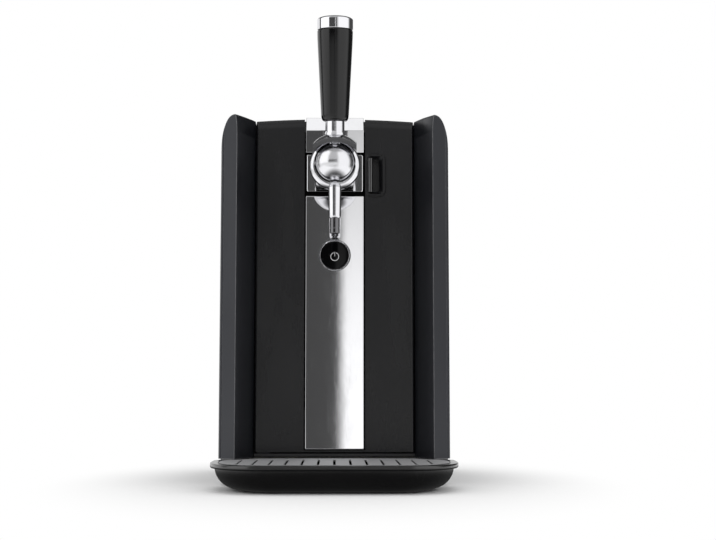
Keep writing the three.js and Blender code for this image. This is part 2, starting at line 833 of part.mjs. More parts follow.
function foamJacket() {
  const half = halfWidth - WALL - SLIDE_GAP;
  const front = FRAME_FRONT + WALL + SEAT_GAP;
  const low = 18;
  const top = 429;
  const shoulder = 16;
  const drop = 24;
  const outline = [
    [-half, low],
    [half, low],
    [half, top - drop],
    [half - shoulder, top],
    [-half + shoulder, top],
    [-half, top - drop],
  ];
  const jacket = prism(outline, "y", front, FOAM_BACK);
  const baseRim = cut(
    block([-halfWidth, halfWidth], [0, BODY_DEPTH], [0, PANEL_BOTTOM + SLIDE_GAP]),
    block([-half + WALL * 2, half - WALL * 2], [front - OVERRUN, BODY_DEPTH], [0, PANEL_BOTTOM + OVERRUN]),
  );
  const hollow = chamberSpace(LINER_SHEET + SEAT_GAP, front - OVERRUN);
  const footNotch = block(
    [hingeX - CHAMBER_ROUND / 2, hingeX + CHAMBER_ROUND / 2],
    [front - OVERRUN, front + WALL * 2],
    [ARM_HEIGHT - CHAMBER_ROUND / 2, top + OVERRUN],
  );
  return cut(jacket, baseRim, hollow, footNotch, ...rearPassages(SLIDE_GAP * 2));
}

function kegSeat() {
  const radius = 85;
  const wall = 3;
  const floor = 2.5;
  const lip = 10;
  const low = CHAMBER_FLOOR + SEAT_GAP;
  const centreY = 154;
  const dish = cut(
    rod("z", radius, [0, centreY], [low, low + lip], ROUND_STEPS),
    rod("z", radius - wall, [0, centreY], [low + floor, low + lip + OVERRUN], ROUND_STEPS),
  );
  const gateHalf = 62;
  const gate = block(
    [-gateHalf, gateHalf],
    [centreY - radius - OVERRUN, centreY - radius / 2],
    [low + floor, low + lip + OVERRUN],
  );
  const rearGate = block(
    [-COUPLING_RADIUS * 2, COUPLING_RADIUS * 2],
    [centreY + radius / 2, centreY + radius + OVERRUN],
    [low + floor, low + lip + OVERRUN],
  );
  const drain = rod("z", floor * 2, [0, centreY], [low - OVERRUN, low + lip], SMALL_STEPS);
  return cut(dish, gate, rearGate, drain);
}

function coldPlate() {
  const half = 46;
  const rise = 70;
  const back = CHAMBER_BACK - SEAT_GAP;
  const sheet = 3;
  const ribDepth = 4.5;
  const ribWidth = 2;
  const ribs = 9;
  const outline = [];
  for (let i = 0; i < ribs; i++) {
    const x = -half + ((2 * half - ribWidth) * i) / (ribs - 1);
    outline.push(
      [x, back - sheet],
      [x, back - sheet - ribDepth],
      [x + ribWidth, back - sheet - ribDepth],
      [x + ribWidth, back - sheet],
    );
  }
  const comb = [...outline, [half, back], [-half, back]];
  const plate = prism(comb, "z", COOLING_HEIGHT - rise, COOLING_HEIGHT + rise);
  const spacer = block(
    [-SPACER_HALF, SPACER_HALF],
    [back - sheet / 2, FOAM_BACK],
    [COOLING_HEIGHT - SPACER_HALF, COOLING_HEIGHT + SPACER_HALF],
  );
  return join(plate, spacer);
}

function coolingModule() {
  const half = 20;
  const plate = 0.9;
  const front = FOAM_BACK + SEAT_GAP;
  const back = SINK_FRONT - SEAT_GAP;
  const square = (levels, shrink = 0) =>
    block(
      [-half + shrink, half - shrink],
      levels,
      [COOLING_HEIGHT - half + shrink, COOLING_HEIGHT + half - shrink],
    );
  const pellet = 5.6;
  const pitch = 9;
  const pitchShares = [-1.5, -0.5, 0.5, 1.5];
  const pellets = [];
  for (const i of pitchShares) {
    for (const j of pitchShares) {
      const [x, z] = [i * pitch, COOLING_HEIGHT + j * pitch];
      pellets.push(
        block(
          [x - pellet / 2, x + pellet / 2],
          [front + plate / 2, back - plate / 2],
          [z - pellet / 2, z + pellet / 2],
        ),
      );
    }
  }
  return join(square([front, front + plate]), square([back - plate, back]), ...pellets);
}

function heatSink() {
  const half = 55;
  const rise = 60;
  const fins = 15;
  const finWidth = 1.6;
  const inner = SINK_FRONT + SINK_BASE;
  const outer = SINK_FRONT + SINK_DEPTH;
  const outline = [[-half, SINK_FRONT], [half, SINK_FRONT]];
  for (let i = fins - 1; i >= 0; i--) {
    const x = -half + ((2 * half - finWidth) * i) / (fins - 1);
    outline.push([x + finWidth, inner], [x + finWidth, outer], [x, outer], [x, inner]);
  }
  const comb = outline.filter(([x, y], i) => i < 2 || y !== inner || Math.abs(x) < half);
  return prism(comb, "z", COOLING_HEIGHT - rise, COOLING_HEIGHT + rise);
}

const fanFront = SINK_FRONT + SINK_DEPTH + SEAT_GAP;

function fanFrame() {
  const half = FAN_SIZE / 2;
  const wall = FAN_WALL;
  const back = fanFront + FAN_DEPTH;
  const flange = 4;
  const heights = (r) => [COOLING_HEIGHT - r, COOLING_HEIGHT + r];
  const plate = (levels) => roundedBlock("y", [-half, half], heights(half), levels, wall * 2, 2);
  const duct = half - wall;
  const body = join(
    plate([fanFront, fanFront + flange]),
    plate([back - flange, back]),
    rod("y", duct + wall - SEAT_GAP, [0, COOLING_HEIGHT], [fanFront, back], DUCT_STEPS),
  );
  const bore = rod("y", duct, [0, COOLING_HEIGHT], [fanFront - OVERRUN, back + OVERRUN], DUCT_STEPS);
  const hubPlate = rod("y", FAN_HUB, [0, COOLING_HEIGHT], [back - wall, back], SMALL_STEPS);
  const struts = [0, 1, 2, 3].map((i) =>
    turnedAbout(
      block([0, duct + wall / 2], [back - wall, back], heights(wall)),
      Y_AXIS,
      (i * Math.PI) / 2 + Math.PI / 4,
      [0, 0, COOLING_HEIGHT],
    ),
  );
  const holeAt = half - flange;
  const holes = [-1, 1].flatMap((i) =>
    [-1, 1].map((j) =>
      rod(
        "y",
        flange / 2,
        [i * holeAt, COOLING_HEIGHT + j * holeAt],
        [fanFront - OVERRUN, back + OVERRUN],
        4,
      ),
    ),
  );
  return cut(join(cut(body, bore), hubPlate, ...struts), ...holes);
}

function fanRotor() {
  const duct = FAN_SIZE / 2 - FAN_WALL;
  const tip = duct - FAN_CLEARANCE;
  const root = FAN_HUB - FAN_CLEARANCE;
  const depth = FAN_DEPTH - FAN_WALL * 3;
  const front = fanFront + FAN_WALL / 2;
  const hub = rod("y", FAN_HUB - SLIDE_GAP, [0, COOLING_HEIGHT], [front, front + depth], SMALL_STEPS);
  const blades = 7;
  const chord = 15;
  const thick = 1.5;
  const rootAngle = 0.95;
  const angleStep = 0.2;
  const made = [];
  for (let i = 0; i < blades; i++) {
    const sections = [root, (root + tip) / 2, tip].map((r, k) => {
      const pitch = rootAngle - angleStep * k;
      const [c, s] = [Math.cos(pitch), Math.sin(pitch)];
      const corners = [[-chord, -thick], [chord, -thick], [chord, thick], [-chord, thick]];
      return corners.map(([a, b]) => {
        const across = (a * c - b * s) / 2;
        const along = (a * s + b * c) / 2;
        return new THREE.Vector3(r, front + depth / 2 + along, COOLING_HEIGHT + across);
      });
    });
    made.push(
      turnedAbout(lofted(sections), Y_AXIS, (i * 2 * Math.PI) / blades, [0, 0, COOLING_HEIGHT]),
    );
  }
  return join(hub, ...made);
}

// Electrics and gas on the base floor behind the chamber
const baseDeck = BASE_BOTTOM + WALL;

function powerSupply() {
  const x1 = halfWidth - SUPPLY_INSET;
  const x0 = x1 - SUPPLY_WIDTH;
  const y0 = FOAM_BACK + SUPPLY_SET_BACK;
  const y1 = y0 + SUPPLY_DEPTH;
  const low = baseDeck + SEAT_GAP;
  const tall = SUPPLY_HEIGHT;
  const wall = 1.5;
  const step = 12;
  const can = block([x0, x1], [y0, y1], [low, low + tall]);
  const terminalBay = block(
    [x0 - OVERRUN, x0 + step],
    [y0 + wall, y1 - wall],
    [low + step, low + tall + OVERRUN],
  );
  const vents = [];
  for (let i = 0; i < 7; i++) {
    const x = x0 + step * 2 + i * step;
    vents.push(
      block([x, x + step / 2], [y0 + step, y1 - step], [low + tall - wall, low + tall + OVERRUN]),
    );
  }
  return cut(can, terminalBay, ...vents);
}

function controlBoard() {
  const x0 = BOARD_INSET - halfWidth;
  const x1 = x0 + BOARD_WIDTH;
  const z0 = BOARD_LOW;
  const z1 = BOARD_HIGH;
  const post = 4;
  const sheet = 1.6;
  const front = FOAM_BACK + SEAT_GAP;
  const board = block([x0, x1], [front + post, front + post + sheet], [z0, z1]);
  const inset = 6;
  const posts = [x0 + inset, x1 - inset].flatMap((x) =>
    [z0 + inset, z1 - inset].map((z) => rod("y", post / 2, [x, z], [front, front + post + sheet / 2], 8)),
  );
  const top = front + post + sheet / 2;
  const tallest = 14;
  const partShares = [
    [0.1, 0.45, 0.08, 0.3, 1],
    [0.55, 0.9, 0.1, 0.35, 0.7],
    [0.15, 0.4, 0.45, 0.6, 0.35],
    [0.5, 0.85, 0.5, 0.62, 0.3],
    [0.15, 0.85, 0.78, 0.9, 0.6],
  ];
  const parts = partShares.map(([leftShare, rightShare, lowShare, highShare, depthShare]) =>
    block(
      [x0 + (x1 - x0) * leftShare, x0 + (x1 - x0) * rightShare],
      [top, top + tallest * depthShare],
      [z0 + (z1 - z0) * lowShare, z0 + (z1 - z0) * highShare],
    ),
  );
  return join(board, ...posts, ...parts);
}

function airPump() {
  const motorRadius = MOTOR_RADIUS;
  const headRadius = 18;
  const low = baseDeck + SEAT_GAP;
  const cradle = block(
    [pumpX - motorRadius, pumpX + motorRadius],
    [pumpY - motorRadius, pumpY + motorRadius / 2],
    [low, PUMP_HEIGHT],
  );
  const motor = rod("x", motorRadius, [pumpY, PUMP_HEIGHT], [pumpX - motorRadius * 2, pumpX + motorRadius]);
  const head = rod(
    "x",
    headRadius,
    [pumpY, PUMP_HEIGHT],
    [pumpX + motorRadius - WALL, pumpX + motorRadius * 2],
    ROUND_STEPS,
  );
  const portShare = 1.6;
  const port = rod(
    "x",
    PIPE_RADIUS * portShare,
    [pumpY, PUMP_HEIGHT],
    [pumpX + motorRadius, pumpX + PORT_REACH],
  );
  return join(cradle, motor, head, port);
}

// The rigid pipe from the pump's port up to the keg's coupling
function gasPipe() {
  const start = pumpX + PORT_REACH + SEAT_GAP;
  const end = FOAM_BACK + COUPLING_TAIL;
  const bend = 12;
  const path = new THREE.CurvePath();
  const corner = (a, b, c) => path.add(new THREE.QuadraticBezierCurve3(a, b, c));
  const straight = (a, b) => path.add(new THREE.LineCurve3(a, b));
  const v = (x, y, z) => new THREE.Vector3(x, y, z);
  straight(v(start, pumpY, PUMP_HEIGHT), v(-bend, pumpY, PUMP_HEIGHT));
  corner(v(-bend, pumpY, PUMP_HEIGHT), v(0, pumpY, PUMP_HEIGHT), v(0, pumpY, PUMP_HEIGHT + bend));
  straight(v(0, pumpY, PUMP_HEIGHT + bend), v(0, pumpY, COUPLING_HEIGHT - bend));
  corner(
    v(0, pumpY, COUPLING_HEIGHT - bend),
    v(0, pumpY, COUPLING_HEIGHT),
    v(0, pumpY - bend, COUPLING_HEIGHT),
  );
  straight(v(0, pumpY - bend, COUPLING_HEIGHT), v(0, end + SEAT_GAP, COUPLING_HEIGHT));
  const geometry = new THREE.ExtrudeGeometry(discOutline(PIPE_RADIUS), {
    steps: 16,
    curveSegments: 5,
    bevelEnabled: false,
    extrudePath: path,
  });
  return solid(geometry);
}

function gasCoupling() {
  const noseReach = 9;
  const noseRadius = 5;
  const flange = 3;
  const soften = 1;
  const back = FOAM_BACK + COUPLING_TAIL;
  const profile = [
    [0, CHAMBER_BACK - noseReach],
    [noseRadius - soften, CHAMBER_BACK - noseReach],
    [noseRadius, CHAMBER_BACK - noseReach + soften],
    [noseRadius, CHAMBER_BACK - flange - SEAT_GAP],
    [COUPLING_RADIUS + flange, CHAMBER_BACK - flange - SEAT_GAP],
    [COUPLING_RADIUS + flange, CHAMBER_BACK - SEAT_GAP],
    [COUPLING_RADIUS, CHAMBER_BACK - SEAT_GAP],
    [COUPLING_RADIUS, FOAM_BACK + flange],
    [noseRadius, FOAM_BACK + flange],
    [noseRadius, back],
    [0, back],
  ];
  return shifted(turned(profile, "y", ROUND_STEPS), 0, 0, COUPLING_HEIGHT);
}

// Door: a loft across the width gives the arched top, its round edge and the rounded sides
function doorSection(x, front, inset, back) {
  const arch = DOOR_TOP - DOOR_ARCH * (x / doorHalf) ** 2;
  const round = DOOR_TOP_ROUND - inset;
  const centreY = DOOR_FRONT + DOOR_TOP_ROUND;
  const centreZ = arch - DOOR_TOP_ROUND;
  const depthShare = (centreY - front) / round;
  const points = [[back, DOOR_BOTTOM + inset], [front, DOOR_BOTTOM + inset]];
  const steps = 5;
  for (let i = 0; i <= steps; i++) {
    const angle = ((i / steps) * Math.PI) / 2;
    points.push([centreY - round * depthShare * Math.cos(angle), centreZ + round * Math.sin(angle)]);
  }
  if (back > centreY) points.push([back, arch - inset]);
  return points.map(([y, z]) => new THREE.Vector3(x, y, z));
}

function doorLoft(inset, back) {
  const half = doorHalf - inset;
  const round = Math.max(DOOR_SIDE_ROUND - inset, inset / 10);
  const arcShare = 1 - Math.SQRT1_2;
  const stations = [[half, 1], [half - round * arcShare, arcShare], [half - round, 0]];
  const edge = stations.map(([x, share]) => [x, DOOR_FRONT + inset + round * share]);
  const innerShares = [2 / 3, 1 / 3];
  const inner = innerShares.map((share) => [half * share, DOOR_FRONT + inset]);
  const right = [...edge, ...inner];
  const all = [...right, [0, DOOR_FRONT + inset], ...right.map(([x, y]) => [-x, y]).reverse()];
  return lofted(all.map(([x, front]) => doorSection(x, front, inset, back)));
}

// The strip's channel: a little wider and deeper than the strips that lie in it
function stripSpace(half, depth, reach) {
  const front = STRIP_FRONT + depth;
  const runY = FACET_BACK - STRIP_FRONT;
  const runZ = FACET_TOP - FACET_BOTTOM;
  const length = Math.hypot(runY, runZ);
  const drop = (depth * (length - runZ)) / runY;
  const elbow = FACET_BOTTOM - drop;
  const tail = runY + reach;
  const outline = [
    [-reach, STRIP_BOTTOM - DOOR_GAP / 2],
    [front, STRIP_BOTTOM - DOOR_GAP / 2],
    [front, elbow],
    [front + tail, elbow + (tail * runZ) / runY],
    [-reach, elbow + (tail * runZ) / runY],
  ];
  return prism(outline, "x", -half, half);
}

function displayHole(radius, levels) {
  return rod("y", radius, [0, DISPLAY_HEIGHT], levels, ROUND_STEPS);
}

function handleHole(sideMargin, endMargin, levels) {
  return roundedBlock(
    "y",
    [HANDLE_LEFT + sideMargin, HANDLE_RIGHT - sideMargin],
    [HANDLE_BOTTOM + endMargin, HANDLE_TOP - endMargin],
    levels,
    sideMargin > 0 ? HANDLE_ROUND / 3 : HANDLE_ROUND,
    3,
  );
}

const channelDepth = STRIP_SHEET + SEAT_GAP * 2;

function hingeSlot() {
  const clear = SLIDE_GAP / 2;
  return block(
    [-doorHalf - OVERRUN, hingeX + ARM_HALF + clear],
    [hingeY - ARM_HALF - SLIDE_GAP * 2, FRAME_FRONT],
    [ARM_HEIGHT - ARM_RISE - clear, ARM_HEIGHT + ARM_RISE + clear],
  );
}

function doorShell() {
  const outer = doorLoft(0, DOOR_BACK);
  const hollow = doorLoft(DOOR_SKIN, DOOR_BACK + OVERRUN);
  const padHalf = STRIP_HALF + DOOR_SKIN * 2;
  const pad = cut(
    stripSpace(padHalf, channelDepth + DOOR_SKIN, BODY_DEPTH),
    block([-padHalf, padHalf], [0, DOOR_BACK + OVERRUN], [0, UPPER_STRIP_BOTTOM]),
  );
  const bossReach = 9;
  const boss = block(
    [-doorHalf, hingeX + bossReach],
    [DOOR_FRONT, DOOR_BACK],
    [ARM_HEIGHT - bossReach, ARM_HEIGHT + bossReach - DOOR_GAP],
  );
  const through = [0, DOOR_BACK + OVERRUN];
  const pinReach = 6;
  const pinLevels = [ARM_HEIGHT - bossReach - ARM_RISE, ARM_HEIGHT + pinReach];
  const pinHole = rod("z", PIN_RADIUS + SEAT_GAP, [hingeX, hingeY], pinLevels);
  const lowHole = rod(
    "z",
    PIN_RADIUS + SEAT_GAP,
    [hingeX, hingeY],
    [DOOR_BOTTOM - OVERRUN, DOOR_BOTTOM + DOOR_SKIN + PLUG_REACH],
  );
  return cut(
    cut(outer, cut(hollow, pad, boss)),
    stripSpace(STRIP_HALF + SLIDE_GAP, channelDepth, BODY_DEPTH),
    displayHole(GLASS_RADIUS + SLIDE_GAP, through),
    handleHole(HANDLE_FLANGE - SLIDE_GAP, HANDLE_SEAT - SLIDE_GAP, through),
    rod("y", SHANK_RADIUS + SEAT_GAP, [0, SHANK_HEIGHT], through, SMALL_STEPS),
    pinHole,
    lowHole,
    hingeSlot(),
  );
}

const flangeFront = DOOR_BACK + SEAT_GAP;
const flangeBack = flangeFront + LINER_SHEET;
const plugBack = flangeBack + PLUG_REACH;
const plugHalf = MOUTH_HALF - PLUG_SIDE_GAP;
const plugLow = MOUTH_BOTTOM + PLUG_END_GAP;
const plugHigh = MOUTH_TOP - PLUG_END_GAP;

// The inner plug: rounded rectangle that narrows towards the keg
function plug(inset, from, to) {
  const section = (shrink, level) => {
    const shape = roundedOutline(
      [-plugHalf + shrink, plugHalf - shrink],
      [plugLow + shrink, plugHigh - shrink],
      MOUTH_ROUND,
    );
    return shape.getPoints(3).slice(0, -1).map((p) => new THREE.Vector3(p.x, level, p.y));
  };
  const shrinkAt = (level) => inset + (PLUG_SLOPE * Math.max(level - flangeBack, 0)) / PLUG_REACH;
  const levels = from < flangeBack ? [from, flangeBack, to] : [from, to];
  return lofted(levels.map((level) => section(shrinkAt(level), level)));
}

function doorLiner() {
  const edge = 2.4;
  const lowEdge = DOOR_BOTTOM + edge;
  const highEdge = DOOR_TOP - DOOR_ARCH - DOOR_TOP_ROUND / 2;
  const flange = roundedBlock(
    "y",
    [-doorHalf + edge / 4, doorHalf - edge / 4],
    [lowEdge, highEdge],
    [flangeFront, flangeBack],
    edge,
    2,
  );
  const outer = join(flange, plug(0, flangeFront + LINER_SHEET / 2, plugBack));
  const hollow = plug(LINER_SHEET, flangeFront - OVERRUN, plugBack - LINER_SHEET);
  const through = [flangeFront - OVERRUN, plugBack + OVERRUN];
  return cut(
    outer,
    hollow,
    rod("y", SHANK_RADIUS + SEAT_GAP, [0, SHANK_HEIGHT], through, SMALL_STEPS),
    hingeSlot(),
  );
}

function doorFoam() {
  const front = DOOR_FRONT + DOOR_SKIN + SLIDE_GAP;
  const back = plugBack - LINER_SHEET - SEAT_GAP;
  const sheet = block(
    [-doorHalf + DOOR_SKIN + SLIDE_GAP, doorHalf - DOOR_SKIN - SLIDE_GAP],
    [front, DOOR_BACK],
    [DOOR_BOTTOM + DOOR_SKIN + SLIDE_GAP, UPPER_STRIP_BOTTOM],
  );
  const filling = plug(LINER_SHEET + SEAT_GAP, DOOR_BACK - LINER_SHEET / 2, back);
  const through = [0, plugBack + OVERRUN];
  return cut(
    join(sheet, filling),
    displayHole(GLASS_RADIUS + SLIDE_GAP, [0, DOOR_BACK]),
    handleHole(HANDLE_FLANGE - DOOR_GAP, HANDLE_SEAT - SLIDE_GAP, [0, CUP_BACK + SLIDE_GAP]),
    rod("y", SHANK_RADIUS + SLIDE_GAP, [0, SHANK_HEIGHT], through, SMALL_STEPS),
    rod("z", PIN_RADIUS + SLIDE_GAP, [hingeX, hingeY], [0, MOUTH_BOTTOM + PLUG_REACH]),
  );
}

function doorGasket() {
  const front = flangeBack + SEAT_GAP;
  const back = FRAME_FRONT - SEAT_GAP;
  const overlap = 4;
  const inner = MOUTH_HALF - overlap;
  const grow = 7;
  const ring = (extra, levels, round) =>
    roundedBlock(
      "y",
      [-inner - extra, inner + extra],
      [MOUTH_BOTTOM + overlap - extra, MOUTH_TOP - overlap + extra],
      levels,
      round,
      2,
    );
  const body = cut(
    ring(grow, [front, back], MOUTH_ROUND + grow / 2),
    ring(0, [front - OVERRUN, back + OVERRUN], MOUTH_ROUND),
  );
  const grooveDepth = 0.8;
  const groove = cut(
    ring(grow / 2 + grooveDepth, [back - grooveDepth, back + OVERRUN], MOUTH_ROUND + grow / 3),
    ring(grow / 2 - grooveDepth, [back - grooveDepth - OVERRUN, back + OVERRUN], MOUTH_ROUND + grow / 4),
  );
  return cut(body, groove);
}

function shankNut() {
  const radius = 17;
  const tall = 6;
  const from = plugBack + SEAT_GAP;
  return cut(
    rod("y", radius, [0, SHANK_HEIGHT], [from, from + tall], NUT_SIDES),
    rod(
      "y",
      SHANK_RADIUS + SEAT_GAP,
      [0, SHANK_HEIGHT],
      [from - OVERRUN, from + tall + OVERRUN],
      SMALL_STEPS,
    ),
  );
}

// Bright strips: the upper one folds back over the door's top
function upperStrip() {
  const inner = STRIP_FRONT + STRIP_SHEET;
  const runY = FACET_BACK - STRIP_FRONT;
  const runZ = FACET_TOP - FACET_BOTTOM;
  const length = Math.hypot(runY, runZ);
  const elbow = FACET_BOTTOM - (STRIP_SHEET * (length - runZ)) / runY;
  const hemFront = inner + ((HEM_BOTTOM - elbow) * runY) / runZ;
  const outline = [
    [STRIP_FRONT, UPPER_STRIP_BOTTOM],
    [STRIP_FRONT, FACET_BOTTOM],
    [FACET_BACK, FACET_TOP],
    [HEM_BACK, FACET_TOP],
    [HEM_BACK, HEM_BOTTOM],
    [hemFront, HEM_BOTTOM],
    [inner, elbow],
    [inner, UPPER_STRIP_BOTTOM],
  ];
  return prism(outline, "x", -STRIP_HALF, STRIP_HALF);
}

function tapPlate() {
  const proud = PLATE_PROUD;
  const front = STRIP_FRONT - proud;
  const plate = roundedBlock(
    "y",
    [-PLATE_HALF, PLATE_HALF],
    [PLATE_BOTTOM, PLATE_TOP],
    [front, STRIP_FRONT + STRIP_SHEET],
    proud * 2,
    2,
  );
  const levels = [front - OVERRUN, STRIP_FRONT + STRIP_SHEET + OVERRUN];
  return cut(plate, rod("y", SHANK_RADIUS + SEAT_GAP, [0, SHANK_HEIGHT], levels, SMALL_STEPS));
}

function lowerStrip() {
  const levels = [STRIP_FRONT, STRIP_FRONT + STRIP_SHEET];
  const corner = 0.8;
  const plate = roundedBlock(
    "y",
    [-STRIP_HALF, STRIP_HALF],
    [STRIP_BOTTOM, LOWER_STRIP_TOP],
    levels,
    corner,
    2,
  );
  return cut(plate, displayHole(BEZEL_RADIUS + SEAT_GAP, [STRIP_FRONT - OVERRUN, DOOR_BACK]));
}

function displayBezel() {
  const front = STRIP_FRONT - BEZEL_PROUD;
  const seat = STRIP_FRONT + channelDepth - SEAT_GAP;
  const back = DOOR_FRONT + DOOR_SKIN + BEZEL_TAIL;
  const sleeve = GLASS_RADIUS - SLIDE_GAP / 2;
  const bore = sleeve - BEZEL_WALL;
  const lip = BEZEL_LIP;
  const profile = [
    [GLASS_RADIUS + SEAT_GAP, front + lip / 2],
    [BEZEL_RADIUS - lip / 2, front],
    [BEZEL_RADIUS, front + lip],
    [BEZEL_RADIUS, seat],
    [sleeve, seat],
    [sleeve, back],
    [bore, back],
    [bore, seat - lip / 2],
    [GLASS_RADIUS + SEAT_GAP, seat - lip / 2],
    [GLASS_RADIUS + SEAT_GAP, front + lip / 2],
  ];
  return shifted(turned(profile, "y", ROUND_STEPS), 0, 0, DISPLAY_HEIGHT);
}

function displayGlass() {
  const front = STRIP_FRONT - BEZEL_PROUD / 2;
  const seat = STRIP_FRONT + channelDepth - SEAT_GAP - BEZEL_LIP / 2;
  return displayHole(GLASS_RADIUS, [front, seat - SEAT_GAP]);
}

function displayBoard() {
  const radius = GLASS_RADIUS - SLIDE_GAP / 2 - BEZEL_WALL - SEAT_GAP;
  const back = DOOR_FRONT + DOOR_SKIN + BEZEL_TAIL;
  const sheet = 1.6;
  const screen = 9;
  const front = STRIP_FRONT + channelDepth;
  return join(
    displayHole(radius, [back - sheet, back]),
    block(
      [-screen, screen],
      [front, back - sheet / 2],
      [DISPLAY_HEIGHT - screen, DISPLAY_HEIGHT + screen],
    ),
  );
}

// A cup sunk in the door with a raised, sloping border
function handleCup() {
  const proud = 1.6;
  const front = DOOR_FRONT - proud;
  const wall = 1.8;
  const seat = DOOR_FRONT - SEAT_GAP;
  const borderRight = 8;
  const rim = handleHole(0, 0, [front, seat]);
  const body = handleHole(HANDLE_FLANGE, HANDLE_SEAT, [front, CUP_BACK]);
  const margin = HANDLE_FLANGE + wall;
  const mouth = [
    [HANDLE_LEFT + margin / 2, HANDLE_RIGHT - borderRight / 3],
    [HANDLE_BOTTOM + margin / 2, HANDLE_TOP - margin / 2],
  ];
  const throat = [
    [HANDLE_LEFT + margin, HANDLE_RIGHT - borderRight],
    [HANDLE_BOTTOM + HANDLE_SEAT + wall, HANDLE_TOP - HANDLE_SEAT - wall],
  ];
  const section = ([a, b], level) =>
    roundedOutline(a, b, HANDLE_ROUND / 2)
      .getPoints(3)
      .slice(0, -1)
      .map((p) => new THREE.Vector3(p.x, level, p.y));
  const cavity = lofted([
    section(mouth, front - proud),
    section(throat, DOOR_FRONT + HANDLE_FLANGE),
    section(throat, CUP_BACK - wall),
  ]);
  const barHoles = handleBar(SEAT_GAP);
  return cut(join(rim, body), cavity, barHoles);
}

// The upright bar that the fingers pull, rounded at the front and held at both ends
function handleBar(grow = 0) {
  const leftInset = 3.2;
  const left = HANDLE_LEFT + leftInset;
  const width = 5.6;
  const frontDepth = 31.6;
  const backDepth = 43;
  const shape = roundedOutline(
    [left - grow, left + width + grow],
    [frontDepth - grow, backDepth + grow],
    width / 2 - SEAT_GAP,
  );
  const seatDepth = 1.2;
  const endInset = HANDLE_SEAT + seatDepth;
  return prism(shape, "z", HANDLE_BOTTOM + endInset - grow, HANDLE_TOP - endInset + grow, BAR_STEPS);
}

// Quarter-ellipse profile turned about the pivot line
function barrel(half, radius, steps) {
  const profile = [];
  const rows = 8;
  for (let i = 0; i <= rows; i++) {
    const angle = Math.PI * (i / rows);
    profile.push([radius * Math.sin(angle), -half * Math.cos(angle)]);
  }
  profile[0][0] = 0;
  profile[rows][0] = 0;
  return shifted(turned(profile, "x", steps), 0, BALL_DEPTH, BALL_HEIGHT);
}

function tapBody() {
  const faceInset = 5;
  const face = BALL_DEPTH - faceInset;
  const low = 354;
  const waist = 376;
  const high = 394;
  const lowHalf = 22;
  const waistHalf = 25;
  const highHalf = 21;
  const bossSetBack = 8;
  const bossFront = BALL_DEPTH + bossSetBack;
  const back = STRIP_FRONT - PLATE_PROUD - SEAT_GAP;
  const right = [[lowHalf, low], [waistHalf, waist], [highHalf, high]];
  const left = right.map(([x, z]) => [-x, z]).reverse();
  const boss = prism([...right, ...left], "y", bossFront, back);
  const shell = shifted(barrel(HOUSING_HALF, HOUSING_RADIUS, BALL_STEPS), 0, 0, -HOUSING_DROP);
  const shankTail = 8;
  const shankEnd = plugBack + shankTail;
  const shank = rod("y", SHANK_RADIUS, [0, SHANK_HEIGHT], [back - OVERRUN, shankEnd], SMALL_STEPS);
  const collar = 1;
  const coneRise = 6;
  const coneTop = SPOUT_TOP + coneRise;
  const cone = [
    [0, SPOUT_TOP + SEAT_GAP],
    [SPOUT_RADIUS, SPOUT_TOP + SEAT_GAP],
    [SPOUT_RADIUS, SPOUT_TOP + collar],
    [SPOUT_RADIUS / 3, coneTop],
    [0, coneTop],
  ];
  const shoulder = shifted(turned(cone, "z", ROUND_STEPS), 0, SPOUT_DEPTH, 0);
  const webHalf = 6;
  const web = block(
    [-webHalf, webHalf],
    [SPOUT_DEPTH, bossFront],
    [SPOUT_TOP + SEAT_GAP * 2, BALL_HEIGHT - BALL_RADIUS],
  );
  const frontSide = block(
    [-HOUSING_HALF - OVERRUN, HOUSING_HALF + OVERRUN],
    [face - HOUSING_RADIUS, face],
    [BALL_HEIGHT - HOUSING_RADIUS - OVERRUN, BALL_HEIGHT + HOUSING_RADIUS + OVERRUN],
  );
  const socket = ballAt(SOCKET_RADIUS, 14, 8);
  const notchBack = BALL_DEPTH + NOTCH_HALF + DOOR_GAP;
  const notch = block(
    [-NOTCH_HALF, NOTCH_HALF],
    [face - OVERRUN, notchBack],
    [BALL_HEIGHT, BALL_HEIGHT + HOUSING_RADIUS + OVERRUN],
  );
  const pivotHalf = PIVOT_HALF + SEAT_GAP;
  const pivot = rod("x", PIVOT_RADIUS + SEAT_GAP, [BALL_DEPTH, BALL_HEIGHT], [-pivotHalf, pivotHalf]);
  const bore = rod("y", BEER_BORE, [0, SHANK_HEIGHT], [BALL_DEPTH + BALL_RADIUS, shankEnd + OVERRUN]);
  const dropTop = SPOUT_TOP + BEER_BORE / 2;
  const drop = rod("z", BEER_BORE, [0, SPOUT_DEPTH], [SPOUT_TOP - OVERRUN, dropTop]);
  const spoutSeat = rod(
    "z",
    SPOUT_RADIUS + SEAT_GAP,
    [0, SPOUT_DEPTH],
    [SPOUT_TOP - OVERRUN, SPOUT_TOP + SEAT_GAP],
    ROUND_STEPS,
  );
  const housing = cut(shell, frontSide, spoutSeat);
  return cut(join(housing, boss, shank, shoulder, web), socket, notch, pivot, bore, drop);
}

function ballAt(radius, steps, rows) {
  const geometry = new THREE.SphereGeometry(radius, steps, rows);
  geometry.rotateX(Math.PI / 2);
  geometry.translate(0, BALL_DEPTH, BALL_HEIGHT);
  return solid(geometry);
}

function tapBall() {
  const stemLevels = [BALL_HEIGHT + STEM_FOOT - SEAT_GAP, BALL_HEIGHT + BALL_RADIUS + OVERRUN];
  const stem = rod("z", STEM_RADIUS + SEAT_GAP, [0, BALL_DEPTH], stemLevels);
  const across = [-BALL_RADIUS - OVERRUN, BALL_RADIUS + OVERRUN];
  const pivot = rod("x", PIVOT_RADIUS + SEAT_GAP, [BALL_DEPTH, BALL_HEIGHT], across);
  return cut(ballAt(BALL_RADIUS, BALL_STEPS, DUCT_STEPS), stem, pivot);
}

